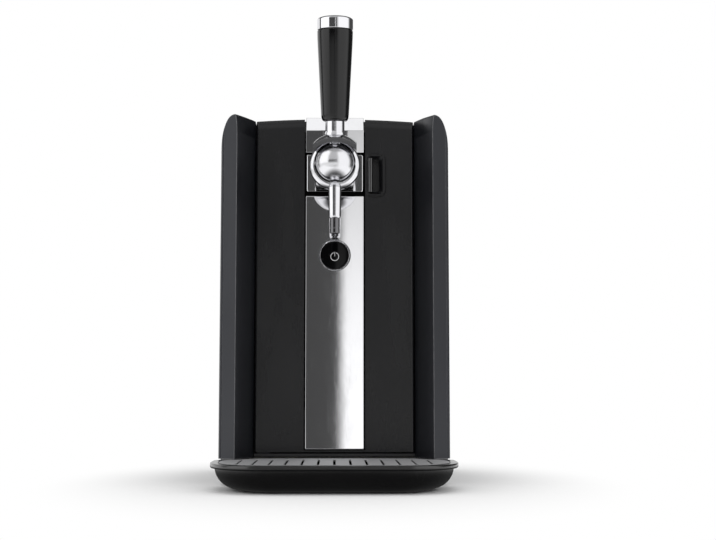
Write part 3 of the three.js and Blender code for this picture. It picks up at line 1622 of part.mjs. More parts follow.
function pivotPin() {
  return rod("x", PIVOT_RADIUS, [BALL_DEPTH, BALL_HEIGHT], [-PIVOT_HALF, PIVOT_HALF]);
}

function spout() {
  const bore = 5.2;
  const lip = 1.6;
  const taper = 0.7;
  const endRadius = SPOUT_RADIUS - taper;
  const profile = [
    [bore, SPOUT_TOP],
    [SPOUT_RADIUS, SPOUT_TOP],
    [endRadius, SPOUT_BOTTOM + lip],
    [endRadius - lip, SPOUT_BOTTOM],
    [bore, SPOUT_BOTTOM],
    [bore, SPOUT_TOP],
  ];
  return shifted(turned(profile, "z", ROUND_STEPS), 0, SPOUT_DEPTH, 0);
}

function nozzle() {
  const bore = 3.6;
  const spigot = 4.9;
  const soften = 0.6;
  const shoulder = SPOUT_BOTTOM - SEAT_GAP;
  const profile = [
    [bore, NOZZLE_BOTTOM],
    [NOZZLE_RADIUS - soften, NOZZLE_BOTTOM],
    [NOZZLE_RADIUS, NOZZLE_BOTTOM + soften],
    [NOZZLE_RADIUS, shoulder],
    [spigot, shoulder],
    [spigot, shoulder + SPIGOT_LENGTH],
    [bore, shoulder + SPIGOT_LENGTH],
    [bore, NOZZLE_BOTTOM],
  ];
  return shifted(turned(profile, "z", BALL_STEPS), 0, SPOUT_DEPTH, 0);
}

// The lever stands upright here and its group leans it forward
function leverNeck() {
  const hoodGap = 0.8;
  const hoodThickness = 6;
  const hoodHalf = 24.8;
  const frontSpread = 0.6;
  const rearSpread = 0.34;
  const endShare = 0.7;
  const outer = barrel(
    HOUSING_HALF + hoodGap + hoodThickness * endShare,
    HOOD_RADIUS + hoodThickness,
    HOOD_STEPS,
  );
  const inner = barrel(HOUSING_HALF + hoodGap, HOOD_RADIUS, HOOD_STEPS);
  const reach = HOOD_RADIUS * 2;
  const wedge = prism(
    [
      [BALL_DEPTH, BALL_HEIGHT],
      [BALL_DEPTH + reach * Math.sin(rearSpread), BALL_HEIGHT + reach * Math.cos(rearSpread)],
      [BALL_DEPTH - reach * Math.sin(frontSpread), BALL_HEIGHT + reach * Math.cos(frontSpread)],
    ],
    "x",
    -hoodHalf,
    hoodHalf,
  );
  const hood = cut(outer.intersect(wedge), inner);
  const at = [0, BALL_DEPTH];
  const neckFoot = BALL_HEIGHT + HOOD_RADIUS + hoodThickness / 2;
  const neckTop = BALL_HEIGHT + GRIP_BOTTOM - SEAT_GAP;
  const neck = rod("z", NECK_RADIUS, at, [neckFoot, neckTop], DUCT_STEPS);
  const bite = 1;
  const stem = rod("z", STEM_RADIUS, at, [BALL_HEIGHT + STEM_FOOT, neckFoot + bite]);
  const stud = rod("z", STEM_RADIUS, at, [neckTop - bite, neckTop + STUD_LENGTH]);
  return join(hood, neck, stem, stud);
}

function leverGrip() {
  const low = BALL_HEIGHT + GRIP_BOTTOM;
  const high = BALL_HEIGHT + GRIP_TOP;
  const round = 6.5;
  const footInset = 3;
  const shoulderInset = 1;
  const flare = 18;
  const flareInset = 0.6;
  const bore = STEM_RADIUS + SEAT_GAP;
  const boreTop = low + STUD_LENGTH + DOOR_GAP;
  const socketFloor = high - CAP_SPIGOT_DEPTH;
  const profile = [
    [bore, low],
    [GRIP_LOW_RADIUS - footInset, low],
    [GRIP_LOW_RADIUS - shoulderInset, low + round / 3],
    [GRIP_LOW_RADIUS, low + round],
    [GRIP_HIGH_RADIUS - flareInset, high - flare],
    [GRIP_HIGH_RADIUS, high],
    [CAP_SPIGOT_RADIUS, high],
    [CAP_SPIGOT_RADIUS, socketFloor],
    [0, socketFloor],
    [0, boreTop],
    [bore, boreTop],
    [bore, low],
  ];
  return shifted(turned(profile, "z", ROUND_STEPS), 0, BALL_DEPTH, 0);
}

function gripCap() {
  const low = BALL_HEIGHT + GRIP_TOP + SEAT_GAP;
  const top = BALL_HEIGHT + CAP_TOP;
  const dome = 4.2;
  const proud = 0.2;
  const spigot = CAP_SPIGOT_RADIUS - SEAT_GAP;
  const spigotEnd = low - CAP_SPIGOT_DEPTH + SLIDE_GAP;
  const radius = GRIP_HIGH_RADIUS + proud;
  const profile = [[0, spigotEnd], [spigot, spigotEnd], [spigot, low], [radius, low], [radius, top - dome]];
  const steps = 5;
  const roundness = 0.6;
  for (let i = 1; i < steps; i++) {
    const angle = ((i / steps) * Math.PI) / 2;
    profile.push([radius * Math.cos(angle) ** roundness, top - dome + dome * Math.sin(angle)]);
  }
  profile.push([0, top]);
  return shifted(turned(profile, "z", ROUND_STEPS), 0, BALL_DEPTH, 0);
}

// Plan of the tray, moved in by insets at its sides and front
function trayPlan(sideInset, frontInset, backInset, level) {
  const half = TRAY_HALF - sideInset;
  const front = -TRAY_REACH + frontInset;
  const cornerW = TRAY_CORNER_WIDTH - sideInset / 2;
  const cornerD = TRAY_CORNER_DEPTH - frontInset / 2;
  const shoulder = -DOOR_GAP - backInset;
  const heel = 10;
  const throat = Math.min(RIDGE_HALF - DOOR_GAP * 1.2 - backInset, half - heel - DOOR_GAP);
  const tongue = Math.min(jamb + DOOR_GAP / 2 - backInset, throat - DOOR_GAP);
  const right = [];
  const cornerSteps = 5;
  for (let i = 0; i <= cornerSteps; i++) {
    const angle = ((i / cornerSteps) * Math.PI) / 2;
    right.push([
      half - cornerW + cornerW * Math.sin(angle),
      front + cornerD - cornerD * Math.cos(angle),
    ]);
  }
  const heelSteps = 3;
  for (let i = 0; i <= heelSteps; i++) {
    const angle = ((i / heelSteps) * Math.PI) / 2;
    right.push([half - heel + heel * Math.cos(angle), shoulder - heel + heel * Math.sin(angle)]);
  }
  right.push([throat, shoulder]);
  right.push([tongue, TRAY_BACK - backInset]);
  const left = right.map(([x, y]) => [-x, y]).reverse();
  return [...right, ...left].map(([x, y]) => new THREE.Vector3(x, y, level));
}

// Bowl: insets grow along quarter ellipses from the rim down to the flat floor
function trayBowl(wall, floor, top) {
  const sideSweep = 26;
  const frontSweep = 26;
  const rimInset = 5;
  const sections = [];
  const steps = 5;
  for (let i = 0; i <= steps; i++) {
    const angle = ((i / steps) * Math.PI) / 2;
    const share = 1 - Math.sin(angle);
    const level = floor + (top - floor) * (1 - Math.cos(angle));
    sections.push(
      trayPlan(
        rimInset + wall + sideSweep * share,
        rimInset + wall + frontSweep * share,
        rimInset + wall,
        level,
      ),
    );
  }
  return sections;
}

function gridPlan(inset) {
  const half = GRID_HALF - inset;
  const [cornerW, cornerD] = [GRID_CORNER_WIDTH, GRID_CORNER_DEPTH];
  const tip = GRID_TIP_DEPTH;
  const throat = GRID_THROAT - inset;
  const tongue = GRID_TONGUE - inset;
  const front = GRID_FRONT + inset;
  const shape = new THREE.Shape();
  shape.moveTo(0, front);
  shape.absellipse(half - cornerW, front + cornerD, cornerW, cornerD, -Math.PI / 2, 0);
  shape.lineTo(half, tip);
  shape.quadraticCurveTo(half, tip / 5, throat, tip / 10);
  shape.lineTo(tongue, GRID_BACK - inset);
  shape.lineTo(-tongue, GRID_BACK - inset);
  shape.lineTo(-throat, tip / 10);
  shape.quadraticCurveTo(-half, tip / 5, -half, tip);
  shape.absellipse(-half + cornerW, front + cornerD, cornerW, cornerD, Math.PI, 1.5 * Math.PI);
  shape.closePath();
  return shape;
}

function dripTray() {
  const rimLow = TRAY_RIM_TOP - TRAY_RIM_THICKNESS;
  const soften = 1;
  const rim = lofted([
    trayPlan(soften, soften, 0, rimLow),
    trayPlan(0, 0, 0, rimLow + soften),
    trayPlan(0, 0, 0, TRAY_RIM_TOP - soften),
    trayPlan(soften, soften, 0, TRAY_RIM_TOP),
  ]);
  const outer = trayBowl(0, TRAY_FLOOR, rimLow + soften);
  const inner = trayBowl(TRAY_WALL, TRAY_FLOOR + TRAY_WALL, rimLow + soften);
  const seat = GRID_TOP - GRID_SHEET - GRID_SKIRT - SEAT_GAP;
  const shelf = 4;
  const well = prism(gridPlan(shelf), "z", rimLow - soften, TRAY_RIM_TOP + OVERRUN);
  const recess = prism(gridPlan(-SLIDE_GAP), "z", seat, TRAY_RIM_TOP + OVERRUN);
  return cut(join(rim, lofted(outer)), lofted(inner), well, recess);
}

function trayPad(x) {
  const radius = 8;
  const height = TRAY_FLOOR - SEAT_GAP;
  return rod("z", radius, [x, PAD_Y], [0, height], SMALL_STEPS);
}

function dripGrid() {
  const low = GRID_TOP - GRID_SHEET - GRID_SKIRT;
  const plate = cut(
    prism(gridPlan(0), "z", low, GRID_TOP),
    prism(gridPlan(GRID_SHEET), "z", low - OVERRUN, GRID_TOP - GRID_SHEET),
  );
  const count = 6;
  const margin = 5;
  const slotBack = -6;
  const slots = [];
  for (let i = -count; i <= count; i++) {
    const x = i * SLOT_PITCH;
    const side = Math.max(Math.abs(x) - GRID_HALF + GRID_CORNER_WIDTH, 0) / GRID_CORNER_WIDTH;
    const front = GRID_FRONT + margin + GRID_CORNER_DEPTH * (1 - Math.sqrt(1 - side * side));
    const back = slotBack - margin * side * 2;
    slots.push(
      roundedBlock(
        "z",
        [x - SLOT_WIDTH / 2, x + SLOT_WIDTH / 2],
        [front, back],
        [low - OVERRUN, GRID_TOP + OVERRUN],
        SLOT_WIDTH / 2 - MERGE_GAP,
        1,
      ),
    );
  }
  return cut(plate, ...slots);
}

function buildCabinet(machine) {
  const cabinet = assembly("cabinet");
  machine.add(cabinet);
  piece(cabinet, "base_tub", base(), "trayBlack");
  for (const [name, x, y] of [
    ["foot_front_left", -footX, FOOT_FRONT_Y],
    ["foot_front_right", footX, FOOT_FRONT_Y],
    ["foot_rear_left", -footX, FOOT_REAR_Y],
    ["foot_rear_right", footX, FOOT_REAR_Y],
  ]) {
    piece(cabinet, name, foot(x, y), "rubber");
  }
  piece(cabinet, "side_panel_left", sidePanel(-1), "shellGrey");
  piece(cabinet, "side_panel_right", sidePanel(1), "shellGrey");
  piece(cabinet, "top_cover", topCover(), "shellGrey");
  piece(cabinet, "rear_cover", rearCover(), "darkPlastic");
  piece(cabinet, "front_frame", frontFrame(), "darkPlastic");
  piece(cabinet, "steel_land", steelLand(), "steel");
  piece(cabinet, "hinge_lower", lowerHinge(), "steel");
  piece(cabinet, "hinge_upper", upperHinge(), "steel");
  piece(cabinet, "chamber_liner", chamberLiner(), "liner");
  piece(cabinet, "foam_jacket", foamJacket(), "foam");
  piece(cabinet, "keg_seat", kegSeat(), "liner");
  piece(cabinet, "gas_coupling", gasCoupling(), "brass");
  piece(cabinet, "gas_pipe", gasPipe(), "darkPlastic");
  piece(cabinet, "air_pump", airPump(), "darkPlastic");
  piece(cabinet, "cold_plate", coldPlate(), "aluminium");
  piece(cabinet, "cooling_module", coolingModule(), "ceramic");
  piece(cabinet, "heat_sink", heatSink(), "aluminium");
  piece(cabinet, "fan_frame", fanFrame(), "darkPlastic");
  piece(cabinet, "power_supply", powerSupply(), "steel");
  piece(cabinet, "control_board", controlBoard(), "board");
  piece(cabinet, "power_inlet", powerInlet(), "darkPlastic");
  piece(cabinet, "switch_frame", switchFrame(), "darkPlastic");

  const fan = assembly("fan", 0, fanFront, COOLING_HEIGHT);
  cabinet.add(fan);
  piece(fan, "fan_rotor", fanRotor(), "darkPlastic");

  const power = assembly("power_rocker", switchX, rockerDepth, INLET_HEIGHT);
  cabinet.add(power);
  piece(power, "rocker", rocker(), "rubber");
}

function buildDoor(machine) {
  const door = assembly("door", hingeX, hingeY, 0);
  machine.add(door);
  piece(door, "door_shell", doorShell(), "doorBlack");
  piece(door, "door_liner", doorLiner(), "liner");
  piece(door, "door_foam", doorFoam(), "foam");
  piece(door, "door_gasket", doorGasket(), "rubber");
  piece(door, "upper_strip", upperStrip(), "chrome");
  piece(door, "tap_plate", tapPlate(), "chrome");
  piece(door, "lower_strip", lowerStrip(), "chrome");
  piece(door, "display_bezel", displayBezel(), "gripBlack");
  piece(door, "display_glass", displayGlass(), "glass");
  piece(door, "display_board", displayBoard(), "board");
  piece(door, "handle_cup", handleCup(), "gripBlack");
  piece(door, "handle_bar", handleBar(), "gripBlack");
  piece(door, "tap_body", tapBody(), "chrome");
  piece(door, "shank_nut", shankNut(), "brass");
  piece(door, "tap_pivot_pin", pivotPin(), "steel");
  piece(door, "spout", spout(), "chrome");
  piece(door, "outlet_nozzle", nozzle(), "gripBlack");

  // The lever leans forward about the ball's centre
  const lever = assembly("tap_lever", 0, BALL_DEPTH, BALL_HEIGHT);
  lever.position.sub(door.position);
  lever.rotation.x = (LEVER_TILT_DEG * Math.PI) / 180;
  door.add(lever);
  piece(lever, "tap_ball", tapBall(), "chrome");
  piece(lever, "lever_neck", leverNeck(), "chrome");
  piece(lever, "lever_grip", leverGrip(), "gripBlack");
  piece(lever, "grip_cap", gripCap(), "chrome");
}

function buildTray(machine) {
  const tray = assembly("drip_tray", 0, -TRAY_REACH / 2, 0);
  machine.add(tray);
  piece(tray, "tray_bowl", dripTray(), "trayBlack");
  piece(tray, "tray_pad_left", trayPad(-PAD_X), "rubber");
  piece(tray, "tray_pad_right", trayPad(PAD_X), "rubber");
  piece(tray, "drip_grid", dripGrid(), "steel");
}

// The machine's origin is on the table under the middle of its depth
const machine = assembly("keg_dispenser");
machine.position.set(0, -(BODY_DEPTH - TRAY_REACH) / 2, 0);
buildCabinet(machine);
buildDoor(machine);
buildTray(machine);
const row = new THREE.Group();
row.add(machine);

export default row;
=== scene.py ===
"""Looks of a counter-top cooler for small kegs, with a lever tap and a drip tray.

Shapes are written in millimetres: x runs to the right, y is counted rearwards from
the front ridges of the side panels, and z upwards from the table.
"""

import logging
import math
from collections.abc import Callable, Iterable, Iterator, Sequence
from contextlib import contextmanager
from dataclasses import dataclass, field
from enum import Enum

import bmesh
import bpy
from mathutils import Matrix, Vector


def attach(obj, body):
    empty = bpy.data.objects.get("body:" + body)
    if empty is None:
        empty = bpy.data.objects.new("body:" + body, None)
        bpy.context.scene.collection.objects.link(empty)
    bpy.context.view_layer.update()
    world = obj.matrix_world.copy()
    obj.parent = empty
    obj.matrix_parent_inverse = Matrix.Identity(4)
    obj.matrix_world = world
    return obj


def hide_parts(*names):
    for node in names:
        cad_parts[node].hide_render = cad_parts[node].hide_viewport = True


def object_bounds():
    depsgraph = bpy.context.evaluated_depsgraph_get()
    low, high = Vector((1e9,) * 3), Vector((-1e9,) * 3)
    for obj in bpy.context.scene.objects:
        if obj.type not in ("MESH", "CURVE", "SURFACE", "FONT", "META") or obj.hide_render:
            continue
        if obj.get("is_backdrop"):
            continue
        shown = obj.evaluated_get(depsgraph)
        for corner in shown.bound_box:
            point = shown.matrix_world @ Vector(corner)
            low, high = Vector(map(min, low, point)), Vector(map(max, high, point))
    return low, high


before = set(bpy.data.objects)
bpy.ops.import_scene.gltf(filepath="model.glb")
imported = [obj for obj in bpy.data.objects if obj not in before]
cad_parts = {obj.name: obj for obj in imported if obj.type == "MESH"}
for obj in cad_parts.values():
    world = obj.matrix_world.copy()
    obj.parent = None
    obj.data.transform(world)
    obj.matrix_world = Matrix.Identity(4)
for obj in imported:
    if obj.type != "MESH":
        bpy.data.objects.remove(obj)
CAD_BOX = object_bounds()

Point = tuple[float, float, float]
Pair = tuple[float, float]
Span = tuple[float, float]
Settings = dict[str, object]

LOG = logging.getLogger("cooler")
MM = 0.001
WHITE = (1.0, 1.0, 1.0, 1.0)
HALF_TURN = math.pi
QUARTER_TURN = math.pi / 2

# Sizes and places that several sub-assemblies share
RIDGE_Y = -110.5
SEAT_GAP = 0.3
BALL_Y = -52.0
BALL_Z = 372.0
SHANK = (0.0, 375.0)
SHANK_HOLE = 12.3
PIVOT_HOLE = 3.3
STRIP_FRONT = 34.0
STRIP_ELBOW = 428.2
STRIP_FOLD = (14.0, 18.5)
DISPLAY = (0.0, 274.6)
DITCH = ((37.8, 61.8), (346.6, 399.4), 8.4, 10)
DITCH_CORE = ((39.1, 60.5), (347.9, 398.1), 7.1, 10)


def spot(x: float, y: float, z: float) -> Vector:
    """Gives a place of the machine in the frame's metres."""
    return Vector((x * MM, (y + RIDGE_Y) * MM, z * MM))


def tint(red: float, green: float, blue: float) -> tuple[float, float, float, float]:
    """Turns display levels from 0 to 255 into a linear colour.

    Args:
        red: Level of red.
        green: Level of green.
        blue: Level of blue.

    Returns:
        The linear colour with full alpha.
    """
    levels = [level / 255 for level in (red, green, blue)]
    linear = [v / 12.92 if v <= 0.04045 else ((v + 0.055) / 1.055) ** 2.4 for v in levels]
    return (linear[0], linear[1], linear[2], 1.0)


def shade(colour: Sequence[float], share: float, lift: float = 0.0) -> tuple[float, ...]:
    """Scales a linear colour and lifts it, up to white."""
    return (*(min(v * share + lift, 1.0) for v in colour[:3]), 1.0)


def raised(table: Sequence[Pair], level: float) -> list[Pair]:
    """Gives a profile's points with their heights counted from a level."""
    return [(radius, level + rise) for radius, rise in table]


# Node graphs


def infix(operation: str, swapped: bool = False) -> Callable[..., "Sock"]:
    """Writes a method that adds one Math node.

    Args:
        operation: The node's operation.
        swapped: Whether the other value comes first.

    Returns:
        The method.
    """

    def method(self: "Sock", other: object = None) -> "Sock":
        """Adds the node behind this output and the other value."""
        return self.graph.maths(operation, *((other, self) if swapped else (self, other)))

    return method


class Sock:
    """A node's output that can be used in sums."""

    __add__ = infix("ADD")
    __radd__ = infix("ADD", True)
    __sub__ = infix("SUBTRACT")
    __rsub__ = infix("SUBTRACT", True)
    __mul__ = infix("MULTIPLY")
    __truediv__ = infix("DIVIDE")
    __gt__ = infix("GREATER_THAN")
    __abs__ = infix("ABSOLUTE")
    root = infix("SQRT")
    at_least = infix("MAXIMUM")

    def __init__(self, graph: "Graph", socket: bpy.types.NodeSocket) -> None:
        """Keeps the graph and the output."""
        self.graph = graph
        self.socket = socket

    def of(self, name: str) -> "Sock":
        """Gives another output of the same node."""
        return Sock(self.graph, self.socket.node.outputs[name])

    def band(self, span: Span, soft: float) -> "Sock":
        """Gives 1 inside a span and 0 outside, with soft ends."""
        low, high = span
        return self.ramp(low - soft, low + soft) * self.ramp(high - soft, high + soft, 1.0, 0.0)

    def ramp(self, low: float, high: float, start: float = 0.0, end: float = 1.0) -> "Sock":
        """Maps the range from low to high smoothly on that from start to end."""
        values = {"Value": self, "From Min": low, "From Max": high, "To Min": start, "To Max": end}
        return self.graph.node("ShaderNodeMapRange", {"interpolation_type": "SMOOTHSTEP"}, values)


class Graph:
    """A node tree with one way to add any node."""

    def __init__(self, tree: bpy.types.NodeTree) -> None:
        """Starts on an empty tree."""
        self.tree = tree
        tree.nodes.clear()

    def node(self, kind: str, settings: Settings, values: dict, out: int | str = 0) -> Sock:
        """Adds a node.

        Args:
            kind: Type of the node.
            settings: Its settings, which are set first.
            values: Values or links by socket.
            out: The output that is given back.

        Returns:
            That output, or none on a node without outputs.
        """
        made = self.tree.nodes.new(kind)
        for key, value in settings.items():
            setattr(made, key, value)
        for key, value in values.items():
            if isinstance(value, Sock):
                self.tree.links.new(value.socket, made.inputs[key])
            elif value is not None:
                made.inputs[key].default_value = value
        return Sock(self, made.outputs[out]) if made.outputs else None

    def maths(self, operation: str, *values: object) -> Sock:
        """Adds one Math node."""
        return self.node("ShaderNodeMath", {"operation": operation}, dict(enumerate(values)))

    def mix(self, share: object, first: object, second: object) -> Sock:
        """Mixes two colours by the share of the second."""
        return self.node("ShaderNodeMix", {"data_type": "RGBA"}, {0: share, 6: first, 7: second}, 2)

    def light(self, kind: str, colour: object, strength: float = 1.0) -> Sock:
        """Adds a shader that gives light."""
        return self.node(kind, {}, {"Color": colour, "Strength": strength})

    def blend(self, share: object, first: Sock, second: Sock) -> Sock:
        """Mixes two shaders by the share of the second."""
        return self.node("ShaderNodeMixShader", {}, {0: share, 1: first, 2: second})

    def object_place(self, stretch: Point = (1, 1, 1)) -> Sock:
        """Gives the place on the piece, stretched along its axes."""
        place = self.node("ShaderNodeTexCoord", {}, {}, "Object")
        return self.node("ShaderNodeMapping", {}, {"Vector": place, "Scale": stretch})

    def noise(self, cells: float, octaves: float = 2.0, grain: Point = (1, 1, 1), rough: float = 0.5) -> Sock:
        """Gives a cloudy pattern round 0.5, with so many cells in a metre.

        Args:
            cells: How many cells in a metre.
            octaves: How many finer patterns.
            grain: How far the place is stretched along each axis.
            rough: The finer patterns' share.

        Returns:
            The pattern.
        """
        place = self.object_place(grain)
        values = {"Vector": place, "Scale": cells, "Detail": octaves, "Roughness": rough}
        return self.node("ShaderNodeTexNoise", {}, values)

    def edges(self, radius_mm: float) -> Sock:
        """Gives 1 near sharp edges and 0 on flat parts.

        Args:
            radius_mm: How far the edges reach, in millimetres.

        Returns:
            The share.
        """
        rounded = self.node("ShaderNodeBevel", {"samples": 4}, {"Radius": radius_mm * MM})
        true_normal = self.node("ShaderNodeNewGeometry", {}, {}, "Normal")
        settings = {"operation": "DOT_PRODUCT"}
        facing = self.node("ShaderNodeVectorMath", settings, {0: rounded, 1: true_normal}, "Value")
        return (1 - facing).ramp(0.01, 0.16)

    def bump(self, height: Sock, reach_mm: float, strength: float = 1.0) -> Sock:
        """Gives a normal bent by a height from 0 to 1, where 1 stands for the reach."""
        values = {"Strength": strength, "Distance": reach_mm * MM, "Height": height}
        return self.node("ShaderNodeBump", {}, values)


# Finishes


@dataclass(frozen=True)
class Finish:
    """What every finish has: its record slot, colour and gloss."""

    slot: str
    colour: tuple[int, int, int]
    roughness: float

    def sockets(self, graph: Graph) -> dict:
        """Gives values and links for the surface's sockets.

        Args:
            graph: The material's node tree.

        Returns:
            A value or link for each socket.
        """
        raise NotImplementedError

    def material(self, name: str) -> bpy.types.Material:
        """Makes the material.

        Args:
            name: Name of the material.

        Returns:
            The material.
        """
        made = bpy.data.materials.new(name)
        made.use_nodes = True
        made.diffuse_color = tint(*self.colour)
        graph = Graph(made.node_tree)
        surface = graph.node("ShaderNodeBsdfPrincipled", {}, self.sockets(graph))
        graph.node("ShaderNodeOutputMaterial", {}, {"Surface": surface})
        return made


@dataclass(frozen=True)
class Moulded(Finish):
    """Moulded plastic: fine eroded grain, faint flow clouds, handling marks and rubbed edges, with a painted
    highlight along the edges where the rim share is set.
    """

    grain: float = 0.03
    grain_size: float = 0.5
    wear: float = 0.25
    clouds: float = 0.1
    specular: float = 0.5
    coat: float = 0.0
    tinge: Point = (1.0, 1.0, 1.0)
    # rim: share of a painted highlight laid along all edges, and how far the edge colour is lifted towards
    # light
    rim: Pair = (0.0, 0.02)
    rim_size: float = 0.8

    def sockets(self, graph: Graph) -> dict:
        """Gives colour, gloss and grain of the plastic.

        Args:
            graph: The material's node tree.

        Returns:
            A value or link for each socket.
        """
        base = tint(*self.colour)
        # The rim gives a painted highlight: its share lays a light line on every edge and its lift brightens
        # the edge colour
        share, lift = self.rim
        worn_and_sheen = shade(base, 2.2, lift)
        dark = shade(base, 1 - self.clouds)
        light = shade(base, 1 + self.clouds)
        clouds = graph.mix(graph.noise(14, 3).ramp(0.3, 0.7), dark, light)
        rub = graph.noise(160, 3).ramp(0.42, 0.62)
        # Edges show real rubbing plus the rim's painted highlight
        colour = graph.mix(graph.edges(self.rim_size) * (rub * self.wear + share), clouds, worn_and_sheen)
        smears = graph.noise(22, 4, (1, 1, 0.35), 0.6).ramp(0.45, 0.7)
        speckle = graph.noise(1000 / self.grain_size, 1)
        gloss = self.roughness + smears * 0.05 - speckle * 0.04
        return {
            "Base Color": colour,
            "Roughness": gloss,
            "Specular IOR Level": self.specular,
            "Specular Tint": (*self.tinge, 1.0),
            "Coat Weight": self.coat,
            "Coat Roughness": 0.06,
            "Normal": graph.bump(speckle, self.grain),
        }


@dataclass(frozen=True)
class Plated(Finish):
    """Bright plated metal: near mirror with faint smudges and hairline marks."""

    smudge: float = 0.05
    ripple: float = 0.006

    def sockets(self, graph: Graph) -> dict:
        """Gives colour, gloss and the slight unevenness of the plating.

        Args:
            graph: The material's node tree.

        Returns:
            A value or link for each socket.
        """
        base = tint(*self.colour)
        dull = shade(base, 0.94)
        smears = graph.noise(30, 4, (1, 1, 0.5), 0.55).ramp(0.5, 0.75)
        hairs = graph.noise(60, 3, (30, 30, 1)).ramp(0.58, 0.72)
        return {
            "Base Color": graph.mix(smears * 0.6, base, dull),
            "Metallic": 1.0,
            "Roughness": self.roughness + smears * self.smudge + hairs * 0.03,
            "Normal": graph.bump(graph.noise(45, 2), self.ripple),
        }


@dataclass(frozen=True)
class Brushed(Finish):
    """Metal with a grind along one axis."""

    along: str = "x"
    depth: float = 0.02
    contrast: float = 0.12
    metal: float = 1.0

    def sockets(self, graph: Graph) -> dict:
        """Gives colour, gloss and grooves that run along the grind.

        Args:
            graph: The material's node tree.

        Returns:
            A value or link for each socket.
        """
        stretch = tuple(0.02 if axis == self.along else 1.0 for axis in "xyz")
        lines = graph.noise(1800, 3, stretch, 0.7)
        broad = graph.noise(220, 2, stretch)
        base = tint(*self.colour)
        dark = shade(base, 1 - self.contrast)
        light = shade(base, 1 + self.contrast / 2)
        stain = graph.noise(25, 4).ramp(0.5, 0.8)
        return {
            "Base Color": graph.mix(lines.ramp(0.35, 0.65), dark, light),
            "Metallic": self.metal,
            "Roughness": self.roughness + (broad - 0.5) * 0.12 + stain * 0.08,
            "Normal": graph.bump(lines, self.depth, 0.6),
        }


@dataclass(frozen=True)
class CellFoam(Finish):
    """Rigid foam: open cut cells over a cream body."""

    cell: float = 0.9

    def sockets(self, graph: Graph) -> dict:
        """Gives the cells and their shaded pits.

        Args:
            graph: The material's node tree.

        Returns:
            A value or link for each socket.
        """
        values = {"Vector": graph.object_place(), "Scale": 1000 / self.cell}
        cells = graph.node("ShaderNodeTexVoronoi", {"feature": "F1"}, values)
        pits = cells.ramp(0.1, 0.6)
        base = tint(*self.colour)
        deep = shade(base, 0.72)
        patches = graph.noise(20, 3).ramp(0.35, 0.7, 0.7, 1.0)
        return {
            "Base Color": graph.mix(pits * patches, base, deep),
            "Roughness": self.roughness - pits * 0.06,
            "Normal": graph.bump(1 - pits, 0.25),
        }


@dataclass(frozen=True)
class Glassy(Finish):
    """Dark window with a clear coat and a few finger marks."""

    def sockets(self, graph: Graph) -> dict:
        """Gives a deep colour under a clear coat.

        Args:
            graph: The material's node tree.

        Returns:
            A value or link for each socket.
        """
        marks = graph.noise(90, 4, (1, 1, 1), 0.6).ramp(0.55, 0.8)
        base = tint(*self.colour)
        return {
            "Base Color": graph.mix(marks, base, tint(20, 20, 22)),
            "Roughness": self.roughness + marks * 0.15,
            "Specular IOR Level": 0.1,
            "Coat Weight": 0.12,
            "Coat Roughness": 0.02,
            "Normal": graph.bump(graph.noise(30, 1), 0.02, 0.2),
        }


@dataclass(frozen=True)
class Tracks(Finish):
    """Circuit board: lacquer over copper tracks and bright pads."""

    def sockets(self, graph: Graph) -> dict:
        """Gives tracks, pads and the lacquer's gloss.

        Args:
            graph: The material's node tree.

        Returns:
            A value or link for each socket.
        """
        place = graph.object_place()
        wires = graph.node(
            "ShaderNodeTexVoronoi",
            {"feature": "DISTANCE_TO_EDGE", "distance": "EUCLIDEAN"},
            {"Vector": place, "Scale": 330.0, "Randomness": 0.5},
        )
        track = 1 - wires.ramp(0.05, 0.09)
        dots = graph.node("ShaderNodeTexVoronoi", {}, {"Vector": place, "Scale": 390.0, "Randomness": 0.2})
        pad = 1 - dots.ramp(0.16, 0.2)
        base = tint(*self.colour)
        light = shade(base, 1.7)
        lacquer = graph.mix(track * 0.8, base, light)
        return {
            "Base Color": graph.mix(pad, lacquer, tint(196, 190, 170)),
            "Metallic": pad * 0.8,
            "Roughness": self.roughness - pad * 0.2,
            "Normal": graph.bump(track + pad, 0.05),
        }


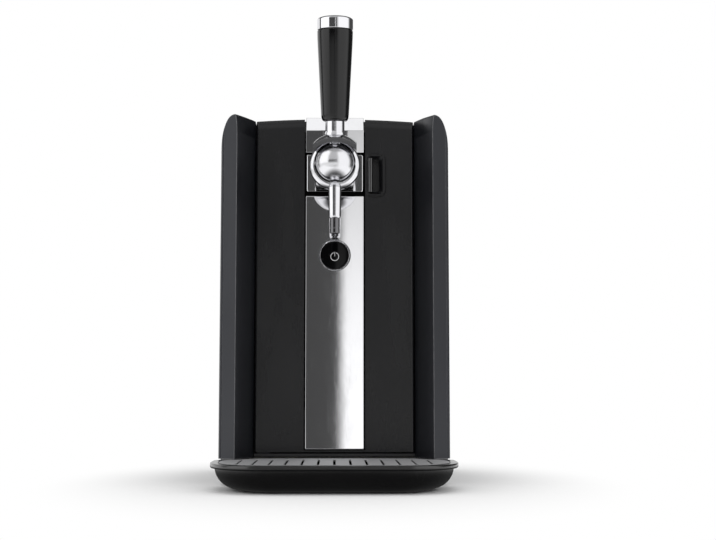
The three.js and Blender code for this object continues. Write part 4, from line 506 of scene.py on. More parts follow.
class Look(Enum):
    """The machine's finishes."""

    # The shell's rim paints a light highlight line along its edges and ridges
    SHELL = Moulded(
        "shell_grey", (15, 16, 20), 0.35, grain=0.02, wear=0.3,
        tinge=(0.9, 0.92, 1.0), rim=(0.7, 0.14), rim_size=2.0,
    )
    DOOR = Moulded("door_black", (17, 17, 19), 0.27, grain=0.01, wear=0.25)
    CHROME = Plated("chrome", (228, 228, 230), 0.03, smudge=0.02)
    TAP_CHROME = Plated("chrome", (220, 220, 223), 0.13, smudge=0.04)
    BALL_CHROME = Plated("chrome", (220, 220, 223), 0.21, smudge=0.05)
    CAP_CHROME = Plated("chrome", (226, 226, 229), 0.07, smudge=0.03)
    GRIP = Moulded("grip_black", (3, 3, 4), 0.17, grain=0.004, wear=0.2, specular=0.45)
    NOZZLE = Plated("grip_black", (108, 108, 110), 0.08, smudge=0.04)
    BAR = Moulded("door_black", (13, 13, 14), 0.14, grain=0.004, wear=0.2, specular=0.9, coat=0.9)
    # Real mounting tape, made near-black and dull so that it stands in as painted shade in the strips' gaps
    TAPE = Moulded("rubber", (3, 3, 3), 0.95, grain=0.02, wear=0.05, specular=0.04)
    WINDOW = Glassy("dark_glass", (4, 4, 5), 0.08)
    TRAY = Moulded("tray_black", (9, 9, 10), 0.24, grain=0.01, wear=0.3, specular=0.85)
    GRID = Brushed("steel", (176, 176, 178), 0.5, metal=0.5)
    HINGE = Brushed("steel", (58, 58, 61), 0.5, along="z", metal=0.6)
    STEEL = Brushed("steel", (190, 191, 193), 0.38, along="z")
    ALUMINIUM = Brushed("aluminium", (205, 207, 209), 0.42, along="z", depth=0.03)
    LINER = Moulded("liner_grey", (200, 202, 204), 0.38, grain=0.02, wear=0.1, clouds=0.03)
    FOAM = CellFoam("foam", (228, 218, 188), 0.9)
    RUBBER = Moulded("rubber", (24, 24, 25), 0.78, grain=0.08, grain_size=0.8, wear=0.5, specular=0.3)
    BOARD = Tracks("circuit_board", (26, 84, 50), 0.42)
    CERAMIC = Moulded("ceramic", (238, 238, 232), 0.5, grain=0.03, wear=0.1, clouds=0.03)
    PLASTIC = Moulded("dark_plastic", (31, 31, 33), 0.52, grain=0.05, grain_size=0.7, wear=0.35)
    BRASS = Plated("brass", (186, 156, 84), 0.28)
    MARK = Moulded("dark_glass", (205, 205, 207), 0.4, grain=0.002)

    def made(self) -> bpy.types.Material:
        """Gives the one material of this finish."""
        name = f"{self.name.lower()}_finish"
        return bpy.data.materials.get(name) or self.value.material(name)


# Shapes


def shares(steps: int) -> list[float]:
    """Gives equal shares from 0 to 1."""
    return [i / steps for i in range(steps + 1)]


def quarter(steps: int) -> list[float]:
    """Gives the angles of a quarter turn in equal steps."""
    return [QUARTER_TURN * share for share in shares(steps)]


def arc(centre: Pair, radii: Pair, start: float, end: float, steps: int) -> list[Pair]:
    """Gives points of an elliptic arc with both ends; the angles are in degrees."""
    angles = [math.radians(start + (end - start) * share) for share in shares(steps)]
    return [(centre[0] + radii[0] * math.cos(a), centre[1] + radii[1] * math.sin(a)) for a in angles]


def rounded_box(across: Span, up: Span, radius: float, steps: int = 8) -> list[Pair]:
    """Outline of a rectangle with round corners.

    Args:
        across: First and last value on the first axis.
        up: First and last value on the second axis.
        radius: Radius of the corners.
        steps: Spans of a corner.

    Returns:
        The outline.
    """
    corners = [(across[1], up[1]), (across[0], up[1]), (across[0], up[0]), (across[1], up[0])]
    points: list[Pair] = []
    for k, (a, b) in enumerate(corners):
        middle = (
            a - math.copysign(radius, a - sum(across) / 2),
            b - math.copysign(radius, b - sum(up) / 2),
        )
        points += arc(middle, (radius, radius), 90 * k, 90 * (k + 1), steps)
    return points


def mirrored(right: Sequence[Pair]) -> list[Pair]:
    """Adds the left half to the right half of an outline."""
    return [*right, *[(-a, b) for a, b in reversed(right)]]


def wrapped(rings: int, count: int) -> list[Sequence[int]]:
    """Gives the quads between closed rings of points.

    Args:
        rings: Number of rings.
        count: Points in each.

    Returns:
        Indices of each quad's points.
    """
    quads: list[Sequence[int]] = []
    for low in range(0, (rings - 1) * count, count):
        for i in range(count):
            j = (i + 1) % count
            quads.append((low + i, low + j, low + count + j, low + count + i))
    return quads


@contextmanager
def edited(mesh: bpy.types.Mesh) -> Iterator[bmesh.types.BMesh]:
    """Opens a mesh for edits and writes it back.

    Args:
        mesh: The mesh.

    Yields:
        The mesh in its editable form.
    """
    made = bmesh.new()
    made.from_mesh(mesh)
    yield made
    made.to_mesh(mesh)
    made.free()


AXES: dict[str, Callable[[float, float, float], Point]] = {
    "x": lambda a, b, level: (level, a, b),
    "y": lambda a, b, level: (a, level, b),
    "z": lambda a, b, level: (a, b, level),
}


class Form:
    """A closed shape in the making."""

    def __init__(self, mesh: bpy.types.Mesh) -> None:
        """Puts a mesh in the scene."""
        self.obj = bpy.data.objects.new("form", mesh)
        bpy.context.scene.collection.objects.link(self.obj)

    @classmethod
    def shell(cls, points: Iterable[Vector], faces: Iterable[Sequence[int]]) -> "Form":
        """Makes a closed form that faces outwards.

        Args:
            points: The points, in metres.
            faces: Indices of each face's points.

        Returns:
            The form.
        """
        mesh = bpy.data.meshes.new("form")
        mesh.from_pydata([tuple(p) for p in points], [], [tuple(f) for f in faces])
        with edited(mesh) as made:
            bmesh.ops.remove_doubles(made, verts=made.verts, dist=1e-7)
            bmesh.ops.recalc_face_normals(made, faces=made.faces)
        return cls(mesh)

    @classmethod
    def loft(cls, rings: Sequence[Sequence[Point]]) -> "Form":
        """Joins rings of equal count and closes both ends.

        Args:
            rings: The rings' points.

        Returns:
            The form.
        """
        count = len(rings[0])
        ends = [range(count), range((len(rings) - 1) * count, len(rings) * count)]
        return cls.shell([spot(*p) for ring in rings for p in ring], [*ends, *wrapped(len(rings), count)])

    @classmethod
    def stack(cls, axis: str, sections: Iterable[tuple[float, Sequence[Pair]]]) -> "Form":
        """Joins outlines that stand at their levels along an axis."""
        put = AXES[axis]
        return cls.loft([[put(a, b, level) for a, b in outline] for level, outline in sections])

    @classmethod
    def prism(cls, outline: Sequence[Pair], axis: str, levels: Span) -> "Form":
        """Draws an outline out along an axis between two levels."""
        return cls.stack(axis, [(level, outline) for level in levels])

    @classmethod
    def plate(cls, axis: str, levels: Span, *box: object) -> "Form":
        """Draws a rounded box out along an axis between two levels."""
        return cls.prism(rounded_box(*box), axis, levels)

    @classmethod
    def tiers(cls, across: Span, up: Span, steps: int, layers: Iterable[Point]) -> "Form":
        """Stacks rounded boxes along y, each moved in by an inset.

        Args:
            across: Span of the boxes to the right.
            up: Their span upwards.
            steps: Spans of a corner.
            layers: Depth, inset and corner radius of each box.

        Returns:
            The form.
        """
        sections = []
        for level, inset, radius in layers:
            spans = ((across[0] + inset, across[1] - inset), (up[0] + inset, up[1] - inset))
            sections.append((level, rounded_box(*spans, radius, steps)))
        return cls.stack("y", sections)

    @classmethod
    def block(cls, x: Span, y: Span, z: Span) -> "Form":
        """Makes a box."""
        return cls.prism([(x[0], y[0]), (x[1], y[0]), (x[1], y[1]), (x[0], y[1])], "z", z)

    @classmethod
    def turned(cls, profile: Sequence[Pair], axis: str, centre: Pair, steps: int = 64) -> "Form":
        """Turns a profile round an axis.

        Args:
            profile: Radius and level of each point, from axis to axis or closed on itself.
            axis: Letter of the axis.
            centre: Where the axis passes on the two other axes.
            steps: Facets round the axis.

        Returns:
            The closed form.
        """
        put = AXES[axis]
        turns = [2 * HALF_TURN * i / steps for i in range(steps)]
        ways = [(math.cos(turn), math.sin(turn)) for turn in turns]
        points: list[Vector] = []
        for radius, level in profile:
            points += [spot(*put(centre[0] + radius * a, centre[1] + radius * b, level)) for a, b in ways]
        return cls.shell(points, wrapped(len(profile), steps))

    @classmethod
    def rod(cls, axis: str, radius: float, centre: Pair, levels: Span, steps: int = 48) -> "Form":
        """Makes a round bar."""
        low, high = levels
        return cls.turned([(0, low), (radius, low), (radius, high), (0, high)], axis, centre, steps)

    @classmethod
    def barrel(cls, half: float, radius: float, rows: int = 40, steps: int = 96) -> "Form":
        """Turns an ellipse about the tap's pivot line.

        Args:
            half: Half of its width along the line.
            radius: Its radius about the line.
            rows: Spans of the ellipse.
            steps: Facets round the line.

        Returns:
            The form.
        """
        turns = [HALF_TURN * i / rows for i in range(1, rows)]
        profile = [(radius * math.sin(t), -half * math.cos(t)) for t in turns]
        return cls.turned([(0.0, -half), *profile, (0.0, half)], "x", (BALL_Y, BALL_Z), steps)

    @classmethod
    def of_node(cls, name: str) -> "Form":
        """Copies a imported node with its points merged.

        Args:
            name: Name of the node.

        Returns:
            The form.
        """
        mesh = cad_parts[name].data.copy()
        with edited(mesh) as made:
            bmesh.ops.remove_doubles(made, verts=made.verts, dist=2e-6)
        mesh.materials.clear()
        return cls(mesh)

    def settle(self) -> "Form":
        """Takes the modifiers into the mesh.

        Returns:
            The form.
        """
        graph = bpy.context.evaluated_depsgraph_get()
        mesh = bpy.data.meshes.new_from_object(self.obj.evaluated_get(graph))
        self.obj.modifiers.clear()
        self.obj.data = mesh
        return self

    def _combine(self, operation: str, others: Sequence["Form"]) -> "Form":
        """Combines with other forms and drops them.

        Args:
            operation: What the Boolean modifier does.
            others: The other forms.

        Returns:
            The form.
        """
        for other in others:
            step = self.obj.modifiers.new("combine", "BOOLEAN")
            step.operation = operation
            step.solver = "MANIFOLD"
            step.object = other.obj
        self.settle()
        for other in others:
            bpy.data.objects.remove(other.obj)
        return self

    def cut(self, *others: "Form") -> "Form":
        """Takes other forms away."""
        return self._combine("DIFFERENCE", others)

    def join(self, *others: "Form") -> "Form":
        """Adds other forms."""
        return self._combine("UNION", others)

    def meet(self, *others: "Form") -> "Form":
        """Keeps what is shared with other forms."""
        return self._combine("INTERSECT", others)

    def turn(self, matrix: Matrix) -> "Form":
        """Moves the mesh by a matrix."""
        self.obj.data.transform(matrix)
        return self

    def clean(self) -> "Form":
        """Merges points, dissolves lines between faces in one plane and drops loose edges.

        Returns:
            The form.
        """
        flat = math.radians(0.3)
        with edited(self.obj.data) as made:
            bmesh.ops.remove_doubles(made, verts=made.verts, dist=3e-6)
            bmesh.ops.dissolve_degenerate(made, edges=made.edges, dist=1e-6)
            bmesh.ops.dissolve_limit(
                made, angle_limit=flat, verts=made.verts, edges=made.edges, delimit={"NORMAL"}
            )
            loose = [edge for edge in made.edges if not edge.link_faces]
            bmesh.ops.delete(made, geom=loose, context="EDGES")
        return self

    def split(self) -> "Form":
        """Splits faces of many sides into triangles.

        Returns:
            The form.
        """
        with edited(self.obj.data) as made:
            bmesh.ops.triangulate(made, faces=[face for face in made.faces if len(face.verts) > 4])
        return self

    def bevel(self, width: float, segments: int = 2, angle: float = 35, split: bool = False) -> "Form":
        """Rounds the sharp edges.

        Args:
            width: Width in millimetres.
            segments: Steps of the round.
            angle: Least angle of an edge that is rounded.
            split: Whether faces of many sides are split first.

        Returns:
            The form.
        """
        self.clean()
        if split:
            self.split()
        step = self.obj.modifiers.new("bevel", "BEVEL")
        step.width = width * MM
        step.segments = segments
        step.limit_method = "ANGLE"
        step.angle_limit = math.radians(angle)
        step.miter_outer = "MITER_ARC"
        return self.settle()

    def piece(self, name: str, look: Look, body: str, *nodes: str, smooth: float = 40) -> None:
        """Finishes the form as a piece of the machine.

        Args:
            name: Name of the piece.
            look: Its finish.
            body: The body that it rides on.
            nodes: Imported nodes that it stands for.
            smooth: Edges below this angle are shaded round.
        """
        obj = self.obj
        obj.name = name
        mesh = obj.data
        mesh.polygons.foreach_set("use_smooth", [True] * len(mesh.polygons))
        mesh.set_sharp_from_angle(angle=math.radians(smooth))
        weigh = obj.modifiers.new("weigh", "WEIGHTED_NORMAL")
        weigh.keep_sharp = True
        weigh.weight = 80
        self.settle()
        obj.data.name = name
        obj.data.materials.clear()
        obj.data.materials.append(look.made())
        obj.data.polygons.foreach_set("material_index", [0] * len(obj.data.polygons))
        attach(obj, body)
        if nodes:
            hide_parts(*nodes)
        LOG.info("%s: %d faces on %s", name, len(obj.data.polygons), body)


# Geometry nodes


class Pattern:
    """A node tree that makes what repeats, with named inputs."""

    title = "pattern"
    kinds = {
        float: "NodeSocketFloat",
        int: "NodeSocketInt",
        tuple: "NodeSocketVector",
        Look: "NodeSocketMaterial",
    }

    def __init__(self, **sizes: object) -> None:
        """Builds the tree.

        Args:
            sizes: Value of each named input; a Look stands for its material.
        """
        self.sizes = sizes
        tree = bpy.data.node_groups.new(self.title, "GeometryNodeTree")
        self.graph = Graph(tree)
        face = tree.interface
        face.new_socket("Geometry", in_out="INPUT", socket_type="NodeSocketGeometry")
        face.new_socket("Geometry", in_out="OUTPUT", socket_type="NodeSocketGeometry")
        self.keys = {}
        for name, value in sizes.items():
            made = face.new_socket(name, in_out="INPUT", socket_type=self.kinds[type(value)])
            self.keys[name] = made.identifier
        self.given = self.graph.node("NodeGroupInput", {}, {})
        whole = self.graph.node("GeometryNodeRealizeInstances", {}, {"Geometry": self.build()})
        look = self.given.of("look")
        dressed = self.graph.node("GeometryNodeSetMaterial", {}, {"Geometry": whole, "Material": look})
        self.graph.node("NodeGroupOutput", {}, {0: dressed})

    def build(self) -> Sock:
        """Gives the geometry before it is made whole."""
        raise NotImplementedError

    def size(self, name: str) -> Sock:
        """Gives a named input."""
        return self.given.of(name)

    def grow(self, start: Form | None = None) -> Form:
        """Runs the tree on a form.

        Args:
            start: The form that is repeated, or none where the tree makes its own.

        Returns:
            The form as a plain mesh.
        """
        form = start or Form(bpy.data.meshes.new("start"))
        step = form.obj.modifiers.new(self.title, "NODES")
        step.node_group = self.graph.tree
        for name, value in self.sizes.items():
            step[self.keys[name]] = value.made() if isinstance(value, Look) else value
        return form.settle()


class Row(Pattern):
    """Copies of a form at equal steps."""

    title = "row"

    def build(self) -> Sock:
        """Puts the form on the points of a line.

        Returns:
            The shapes that the graph gives.
        """
        line = self.graph.node("GeometryNodeMeshLine", {"mode": "OFFSET"}, {"Count": self.size("count")})
        self.graph.tree.links.new(self.size("step").socket, line.socket.node.inputs["Offset"])
        values = {"Points": line, "Instance": self.given.of("Geometry")}
        return self.graph.node("GeometryNodeInstanceOnPoints", {}, values)


class Slots(Pattern):
    """Round-ended slots side by side whose ends follow an elliptic corner."""

    title = "slots"

    def build(self) -> Sock:
        """Stretches a bar on each point of a line to the slot's two ends.

        Returns:
            The shapes that the graph gives.
        """
        graph = self.graph
        count, pitch, width = self.size("count"), self.size("pitch"), self.size("width")
        start = graph.node("ShaderNodeCombineXYZ", {}, {"X": (1 - count) * pitch / 2})
        offset = graph.node("ShaderNodeCombineXYZ", {}, {"X": pitch})
        values = {"Count": count, "Start Location": start, "Offset": offset}
        line = graph.node("GeometryNodeMeshLine", {"mode": "OFFSET"}, values)
        place = graph.node("GeometryNodeInputPosition", {}, {})
        across = graph.node("ShaderNodeSeparateXYZ", {}, {"Vector": place})
        keep = graph.tree.nodes.new("GeometryNodeCaptureAttribute")
        keep.capture_items.new("FLOAT", "across")
        graph.tree.links.new(line.socket, keep.inputs["Geometry"])
        graph.tree.links.new(across.socket, keep.inputs["across"])
        points, kept = Sock(graph, keep.outputs["Geometry"]), Sock(graph, keep.outputs["across"])
        sides = 24
        values = {"Vertices": sides, "Radius": width / 2, "Depth": self.size("depth")}
        bar = graph.node("GeometryNodeMeshCylinder", {}, values)
        half_step = (0, 0, math.radians(180 / sides))
        bar = graph.node("GeometryNodeTransform", {}, {"Geometry": bar, "Rotation": half_step})
        placed = graph.node("GeometryNodeInstanceOnPoints", {}, {"Points": points, "Instance": bar})
        whole = graph.node("GeometryNodeRealizeInstances", {}, {"Geometry": placed})
        side = (abs(kept) - self.size("flat")).at_least(0) / self.size("corner")
        drop = 1 - (1 - side * side).at_least(0).root()
        far = self.size("far") - self.size("far_drop") * drop
        near = self.size("near") + self.size("near_drop") * drop
        local = graph.node("ShaderNodeSeparateXYZ", {}, {"Vector": place}, "Y")
        ahead = local > 0
        shift = graph.node("ShaderNodeCombineXYZ", {}, {"Y": near + (far - near) * ahead})
        return graph.node("GeometryNodeSetPosition", {}, {"Geometry": whole, "Offset": shift})


# Sub-assemblies


@dataclass(frozen=True)
class Card:
    """A bright card of the studio that bare metal shows, by the angles at which it stands.

    The turn counts from the camera to the right and the rise from level, in degrees.
    """

    turn: Span
    rise: Span = (-90.0, 74.0)
    level: float = 1.0
    soft: float = 2.0

    def light(self, turn: Sock, rise: Sock) -> Sock:
        """Gives the card's level where a direction meets it, and 0 elsewhere."""
        across = turn.band(self.turn, self.soft)
        return across * rise.band(self.rise, self.soft) * self.level


@dataclass
class Studio:
    """Camera, lamps, pale floor and what the bright metal sees; sizes in metres."""

    focal: float = 1300.0
    picture_width: float = 716.0
    sensor: float = 36.0
    stand: Point = (0.0, -1.6425, 0.106)
    pitch: float = 5.5
    yaw: float = 1.031
    fill: float = 0.95
    dim: float = 0.075
    cards: tuple[Card, ...] = (
        Card((-190.0, -114.0), (-95.0, 28.0)),
        Card((160.0, 190.0), (-95.0, 28.0)),
        Card((-101.5, -38.5), (-3.0, 62.0), 1.42, 2.5),
        Card((-101.5, -38.5), (-80.0, -3.0), 1.0, 2.5),
        Card((15.0, 97.0), (-80.0, 62.0), 1.25, 12.0),
        Card((-40.0, -2.4), (12.5, 62.0), 0.62, 1.0),
        Card((4.6, 20.0), (12.5, 62.0), 0.62, 1.0),
        Card((-40.0, 20.0), (13.0, 62.0), 0.62, 1.0),
        Card((-40.0, -5.5), (-30.0, -1.5), 0.85, 1.5),
        Card((5.5, 40.0), (-30.0, -1.5), 0.85, 1.5),
        Card((-60.0, 60.0), (82.0, 89.0), 1.15, 1.5),
        Card((-190.0, 190.0), (57.0, 82.0), 0.42, 5.0),
        Card((-190.0, 190.0), (-55.0, -8.0), 0.6, 4.0),
        Card((-45.0, 45.0), (-18.0, -4.6), 1.0, 1.5),
    )
    window: Card = Card((0.3, 2.6), (-20.0, 14.0), 1.28, 0.25)
    window_fall: tuple[float, ...] = (-1.0, 15.0, 1.0, 0.45)
    floor_grey: float = 0.8
    floor_corners: tuple[Pair, ...] = ((-1.5, -0.8), (1.5, -0.8), (1.5, 2.5), (-1.5, 2.5))
    shadow_stretch: Point = (1.7, 1, 1)
    shadow: Span = (0.25, 0.62)
    # Distances and glow levels of the floor in mirrors; the low near level is painted shade
    mirrored: tuple[float, ...] = (0.27, 0.8, 0.06, 1.3)
    aim: Point = (0.0, -0.1, 0.25)
    lamp_level: float = 0.8
    lamps: tuple[tuple[str, Point, Pair], ...] = (
        ("overhead", (0.0, -0.3, 1.9), (1.6, 1.6)),
        ("panel_left", (-1.7, -0.5, 0.7), (1.0, 1.4)),
        ("panel_right", (1.7, -0.3, 0.7), (1.0, 1.4)),
    )

    def camera(self) -> None:
        """Puts the camera at the photograph's angle."""
        data = bpy.data.cameras.new("camera")
        data.sensor_width = self.sensor
        data.lens = self.focal / self.picture_width * self.sensor
        data.clip_start = 0.01
        obj = bpy.data.objects.new("camera", data)
        obj.location = self.stand
        obj.rotation_euler = (math.radians(90 + self.pitch), 0, -math.radians(self.yaw))
        bpy.context.scene.collection.objects.link(obj)
        bpy.context.scene.camera = obj

    def lamp(self, name: str, place: Point, size: Pair) -> None:
        """Adds a soft panel that faces the machine and that mirrors don't show.

        Args:
            name: Name of the lamp.
            place: Where it stands.
            size: Its width and height.
        """
        data = bpy.data.lights.new(name, "AREA")
        data.shape = "RECTANGLE"
        data.size, data.size_y = size
        data.energy = self.lamp_level * math.pi * size[0] * size[1]
        obj = bpy.data.objects.new(name, data)
        obj.location = place
        obj.rotation_euler = (Vector(self.aim) - Vector(place)).to_track_quat("-Z", "Y").to_euler()
        obj.visible_glossy = False
        bpy.context.scene.collection.objects.link(obj)

    def sky(self) -> None:
        """Lights the scene softly behind a white background; metal sees the cards."""
        world = bpy.data.worlds.new("studio")
        world.use_nodes = True
        bpy.context.scene.world = world
        graph = Graph(world.node_tree)
        aim = graph.node("ShaderNodeTexCoord", {}, {}, "Generated")
        across = graph.node("ShaderNodeSeparateXYZ", {}, {"Vector": aim})
        turn = graph.maths("ARCTAN2", across, 0 - across.of("Y")) * (180 / math.pi)
        rise = graph.maths("ARCSINE", across.of("Z")) * (180 / math.pi)
        seen = self.dim + self.window.light(turn, rise) * rise.ramp(*self.window_fall)
        for card in self.cards:
            seen = seen.at_least(card.light(turn, rise))
        rays = graph.node("ShaderNodeLightPath", {}, {}, "Is Camera Ray")
        plain = rays.at_least(rays.of("Is Transmission Ray"))
        kind = "ShaderNodeBackground"
        soft, cards = graph.light(kind, WHITE, self.fill), graph.light(kind, seen)
        lit = graph.blend(rays.of("Is Glossy Ray"), soft, cards)
        shown = graph.blend(plain, lit, graph.light(kind, WHITE))
        graph.node("ShaderNodeOutputWorld", {}, {"Surface": shown})

    def floor(self) -> None:
        """Lays a pale floor that keeps the machine's shadow; in mirrors it is a glow, dim near the machine as
        painted shade.
        """
        form = Form.shell([Vector((x, y, 0)) for x, y in self.floor_corners], [(0, 1, 2, 3)])
        form.obj.name = "floor"
        made = bpy.data.materials.new("pale_floor")
        made.use_nodes = True
        graph = Graph(made.node_tree)
        lit = graph.node("ShaderNodeBsdfDiffuse", {}, {"Color": (*[self.floor_grey] * 3, 1)})
        rays = graph.node("ShaderNodeLightPath", {}, {}, "Is Camera Ray")
        place = graph.object_place(self.shadow_stretch)
        away = graph.node("ShaderNodeVectorMath", {"operation": "LENGTH"}, {0: place}, "Value")
        kind = "ShaderNodeEmission"
        plain = graph.blend(rays * away.ramp(*self.shadow), lit, graph.light(kind, WHITE))
        # In mirrors the floor glows, dim near the machine as painted shade and bright farther out
        shown = graph.blend(rays.of("Is Glossy Ray"), plain, graph.light(kind, away.ramp(*self.mirrored)))
        graph.node("ShaderNodeOutputMaterial", {}, {"Surface": shown})
        form.obj.data.materials.append(made)
        form.obj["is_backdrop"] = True

    def build(self) -> None:
        """Sets up the whole studio."""
        bpy.context.scene.view_settings.view_transform = "Standard"
        self.camera()
        self.sky()
        self.floor()
        for lamp in self.lamps:
            self.lamp(*lamp)


@dataclass
class Cabinet:
    """Outer body: side panels with their ears, top, rear cover, base and feet."""

    half_width: float = 137.5
    depth: float = 358.0
    top: float = 439.0
    ear_top: float = 441.3
    bottom: float = 32.5
    sag: float = 1.1
    wall: float = 3.0
    ridge_half: float = 116.8
    ridge_top_half: float = 121.6
    ridge_curl: float = 26.0
    chamfer_width: float = 16.7
    chamfer_run: float = 16.2
    chamfer_depth: float = 26.0
    shoulder: Pair = (17.0, 49.0)
    roundness: float = 2.3
    jamb: float = 96.9
    door_front: float = 35.0
    frame_front: float = 52.3
    cover_front: float = 346.3
    crown: float = 3.5
    over: float = 5.0
    grille_height: float = 240.0
    grille_reach: float = 43.5
    grille_corner: float = 46.0
    intake_reach: float = 49.5
    intake_drop: float = 90.0
    slot_pitch: float = 10.0
    slot_width: float = 5.0
    sockets: tuple[Point, ...] = ((-82.0, 14.0, 10.1), (-44.0, 10.8, 7.3))
    socket_height: float = 84.0
    socket_corner: float = 1.5
    screw: Pair = (-118.0, 58.0)
    screw_steps: Pair = (236.0, 108.0)
    screw_seat: Pair = (4.4, 1.7)
    screw_head: tuple[Pair, ...] = ((0, 0), (3.6, 0), (3.9, 0.25), (3.6, 0.9), (2.4, 1.35), (0, 1.5))
    cross: Point = (2.0, 0.45, 0.7)
    foot_place: Pair = (-112.0, 60.0)
    foot_steps: Pair = (224.0, 265.0)
    foot_profile: tuple[Pair, ...] = (
        (0, 0.8), (6, 0.8), (6.4, 0), (9.2, 0), (10.4, 0.5), (11, 1.6), (11, 5.2), (10.5, 5.7), (0, 5.7)
    )

    def shoulder_line(self, inset: float, bottom: float, top: float) -> list[Pair]:
        """Right half of the front view: flat top, round shoulder and straight side.

        Args:
            inset: How far the line is moved in.
            bottom: Where the side ends.
            top: Level that cuts the shoulder off.

        Returns:
            The points from the top's middle side down.
        """
        wide, tall = self.shoulder
        points = []
        for turn in quarter(30):
            across = math.sin(turn) ** (2 / self.roundness)
            up = max(math.cos(turn), 0) ** (2 / self.roundness)
            x = self.half_width - wide + (wide - inset) * across
            points.append((x, min(self.ear_top - tall + (tall - inset) * up, top - inset)))
        return [*points, (self.half_width - inset, bottom)]

    def chamfer_line(self, inset: float, back: float) -> list[Pair]:
        """Plan of a panel's outer faces from the ridge to the rear.

        Args:
            inset: How far the line is moved in.
            back: Where it ends.

        Returns:
            The points.
        """
        points = [(self.ridge_half, inset * math.sqrt(2))]
        bend_x = self.ridge_half + self.chamfer_width - inset
        bend_y = self.chamfer_run + inset / 2
        for t in shares(12):
            keep = (1 - t) ** 2
            x = keep * bend_x + (1 - keep) * (self.half_width - inset)
            points.append((x, (1 - t * t) * bend_y + t * t * self.chamfer_depth))
        return [*points, (self.half_width - inset, back)]

    def recess(self, inset: float) -> Form:
        """Space between the inner bevels, which opens out round the curled ridge tops.

        Args:
            inset: How far it is widened on each side.

        Returns:
            The space.
        """
        curl_low = self.ear_top - self.ridge_curl
        edge = self.jamb + inset
        sections = []
        levels = [curl_low + self.ridge_curl * share for share in shares(16)]
        for level in (-self.over, *levels, self.ear_top + self.over):
            share = min(max((level - curl_low) / self.ridge_curl, 0), 1)
            curl = 1 - math.sqrt(1 - share * share)
            ridge = self.ridge_half + (self.ridge_top_half - self.ridge_half) * curl + inset
            slope = (ridge - edge) / self.door_front
            plan = [(ridge + slope * self.over, -self.over), (edge, self.door_front)]
            sections.append((level, mirrored([*plan, (edge, self.frame_front - SEAT_GAP)])))
        return Form.stack("z", sections)

    def ear_fall(self, inset: float, back: float) -> Form:
        """Space under the ears' top edge, which falls in a curve from the ridge to the door.

        Args:
            inset: How far the edge is moved down.
            back: Depth of the rear end.

        Returns:
            The space.
        """
        low = self.bottom - self.over * 2
        outline = [(-self.over, low), (-self.over, self.ear_top - inset)]
        for share in shares(12):
            fall = (self.ear_top - self.top) * share * share
            outline.append((self.door_front * share, self.ear_top - inset - fall))
        outline += [(back + self.over, self.top - inset), (back + self.over, low)]
        return Form.prism(outline, "x", (-self.half_width, self.half_width))

    def ear(self, side: int, inset: float, back: float, bottom: float, start: float) -> Form:
        """Solid side panel, where the plan, the front view and the ear's fall meet.

        Args:
            side: 1 for the right panel and -1 for the left.
            inset: How far its faces are moved in.
            back: Depth of the rear end.
            bottom: Level of the lower end.
            start: Distance of the inner face from the middle.

        Returns:
            The solid.
        """
        plan = [(start, inset * math.sqrt(2)), *self.chamfer_line(inset, back), (start, back)]
        view = [(0.0, bottom), (0.0, self.ear_top - inset), *self.shoulder_line(inset, bottom, self.ear_top)]
        form = Form.prism([(side * x, y) for x, y in plan], "z", (bottom, self.ear_top + self.over))
        front = Form.prism([(side * x, z) for x, z in view], "y", (-self.over, back + self.over))
        return form.meet(front).meet(self.ear_fall(inset, back))

    def side_panel(self, side: int) -> Form:
        """Chamfer, bevel, curled ridge and shoulder meet in one hollow ear.

        Args:
            side: 1 for the right panel and -1 for the left.

        Returns:
            The panel.
        """
        rear = self.cover_front - SEAT_GAP
        panel = self.ear(side, 0, rear, self.bottom - self.sag, self.jamb).cut(self.recess(0))
        inner = self.ear(side, self.wall, self.cover_front + self.over, self.bottom - self.over, 0.0)
        span = tuple(sorted((side * self.jamb, side * (self.jamb + self.wall))))
        depths = (self.door_front, self.frame_front - SEAT_GAP)
        jamb_skin = Form.block(span, depths, (self.bottom, self.top - self.wall))
        return panel.cut(inner.cut(self.recess(self.wall), jamb_skin))

    def top_cover(self) -> Form:
        """Slightly crowned lid between the side panels.

        Returns:
            The form.
        """
        half = self.jamb - SEAT_GAP

        def arch(inset: float) -> list[Pair]:
            """Gives the crowned line, moved down and in."""
            across = [(half - inset) * (1 - 2 * share) for share in shares(40)]
            return [(x, self.top - inset + self.crown * (1 - (x / half) ** 2)) for x in across]

        low = self.top - self.wall - self.over
        rear = self.cover_front - SEAT_GAP
        outer = Form.prism([(-half, low), (half, low), *arch(0)], "y", (self.frame_front, rear))
        reach = half - self.wall
        inner = [(-reach, low - self.over), (reach, low - self.over), *arch(self.wall)]
        return outer.cut(Form.prism(inner, "y", (self.frame_front + self.wall, rear - self.wall)))

    def slots(self, count: int, reach: float, corner: float, drop: float) -> Form:
        """Level slots through the rear cover.

        Args:
            count: Number of slots.
            reach: How far their ends are from the middle.
            corner: Radius that the ends follow, or 0 where they stand in line.
            drop: How far the field lies below the round grille.

        Returns:
            The slots.
        """
        sizes = {"pitch": self.slot_pitch * MM, "width": self.slot_width * MM, "depth": 0.02}
        far = reach * MM
        curve = far if corner else 0.0
        ends = {"far": far, "near": -far, "far_drop": curve, "near_drop": curve}
        bend = {"flat": 0.0, "corner": corner * MM} if corner else {"flat": 0.1, "corner": 0.1}
        holes = Slots(count=count, **sizes, **ends, **bend, look=Look.PLASTIC)
        place = Matrix.Translation(spot(0, self.depth - self.wall, self.grille_height))
        turn = Matrix.Rotation(QUARTER_TURN, 4, "Z") @ Matrix.Rotation(QUARTER_TURN, 4, "Y")
        return holes.grow().turn(Matrix.Translation((0, 0, -drop * MM)) @ place @ turn)

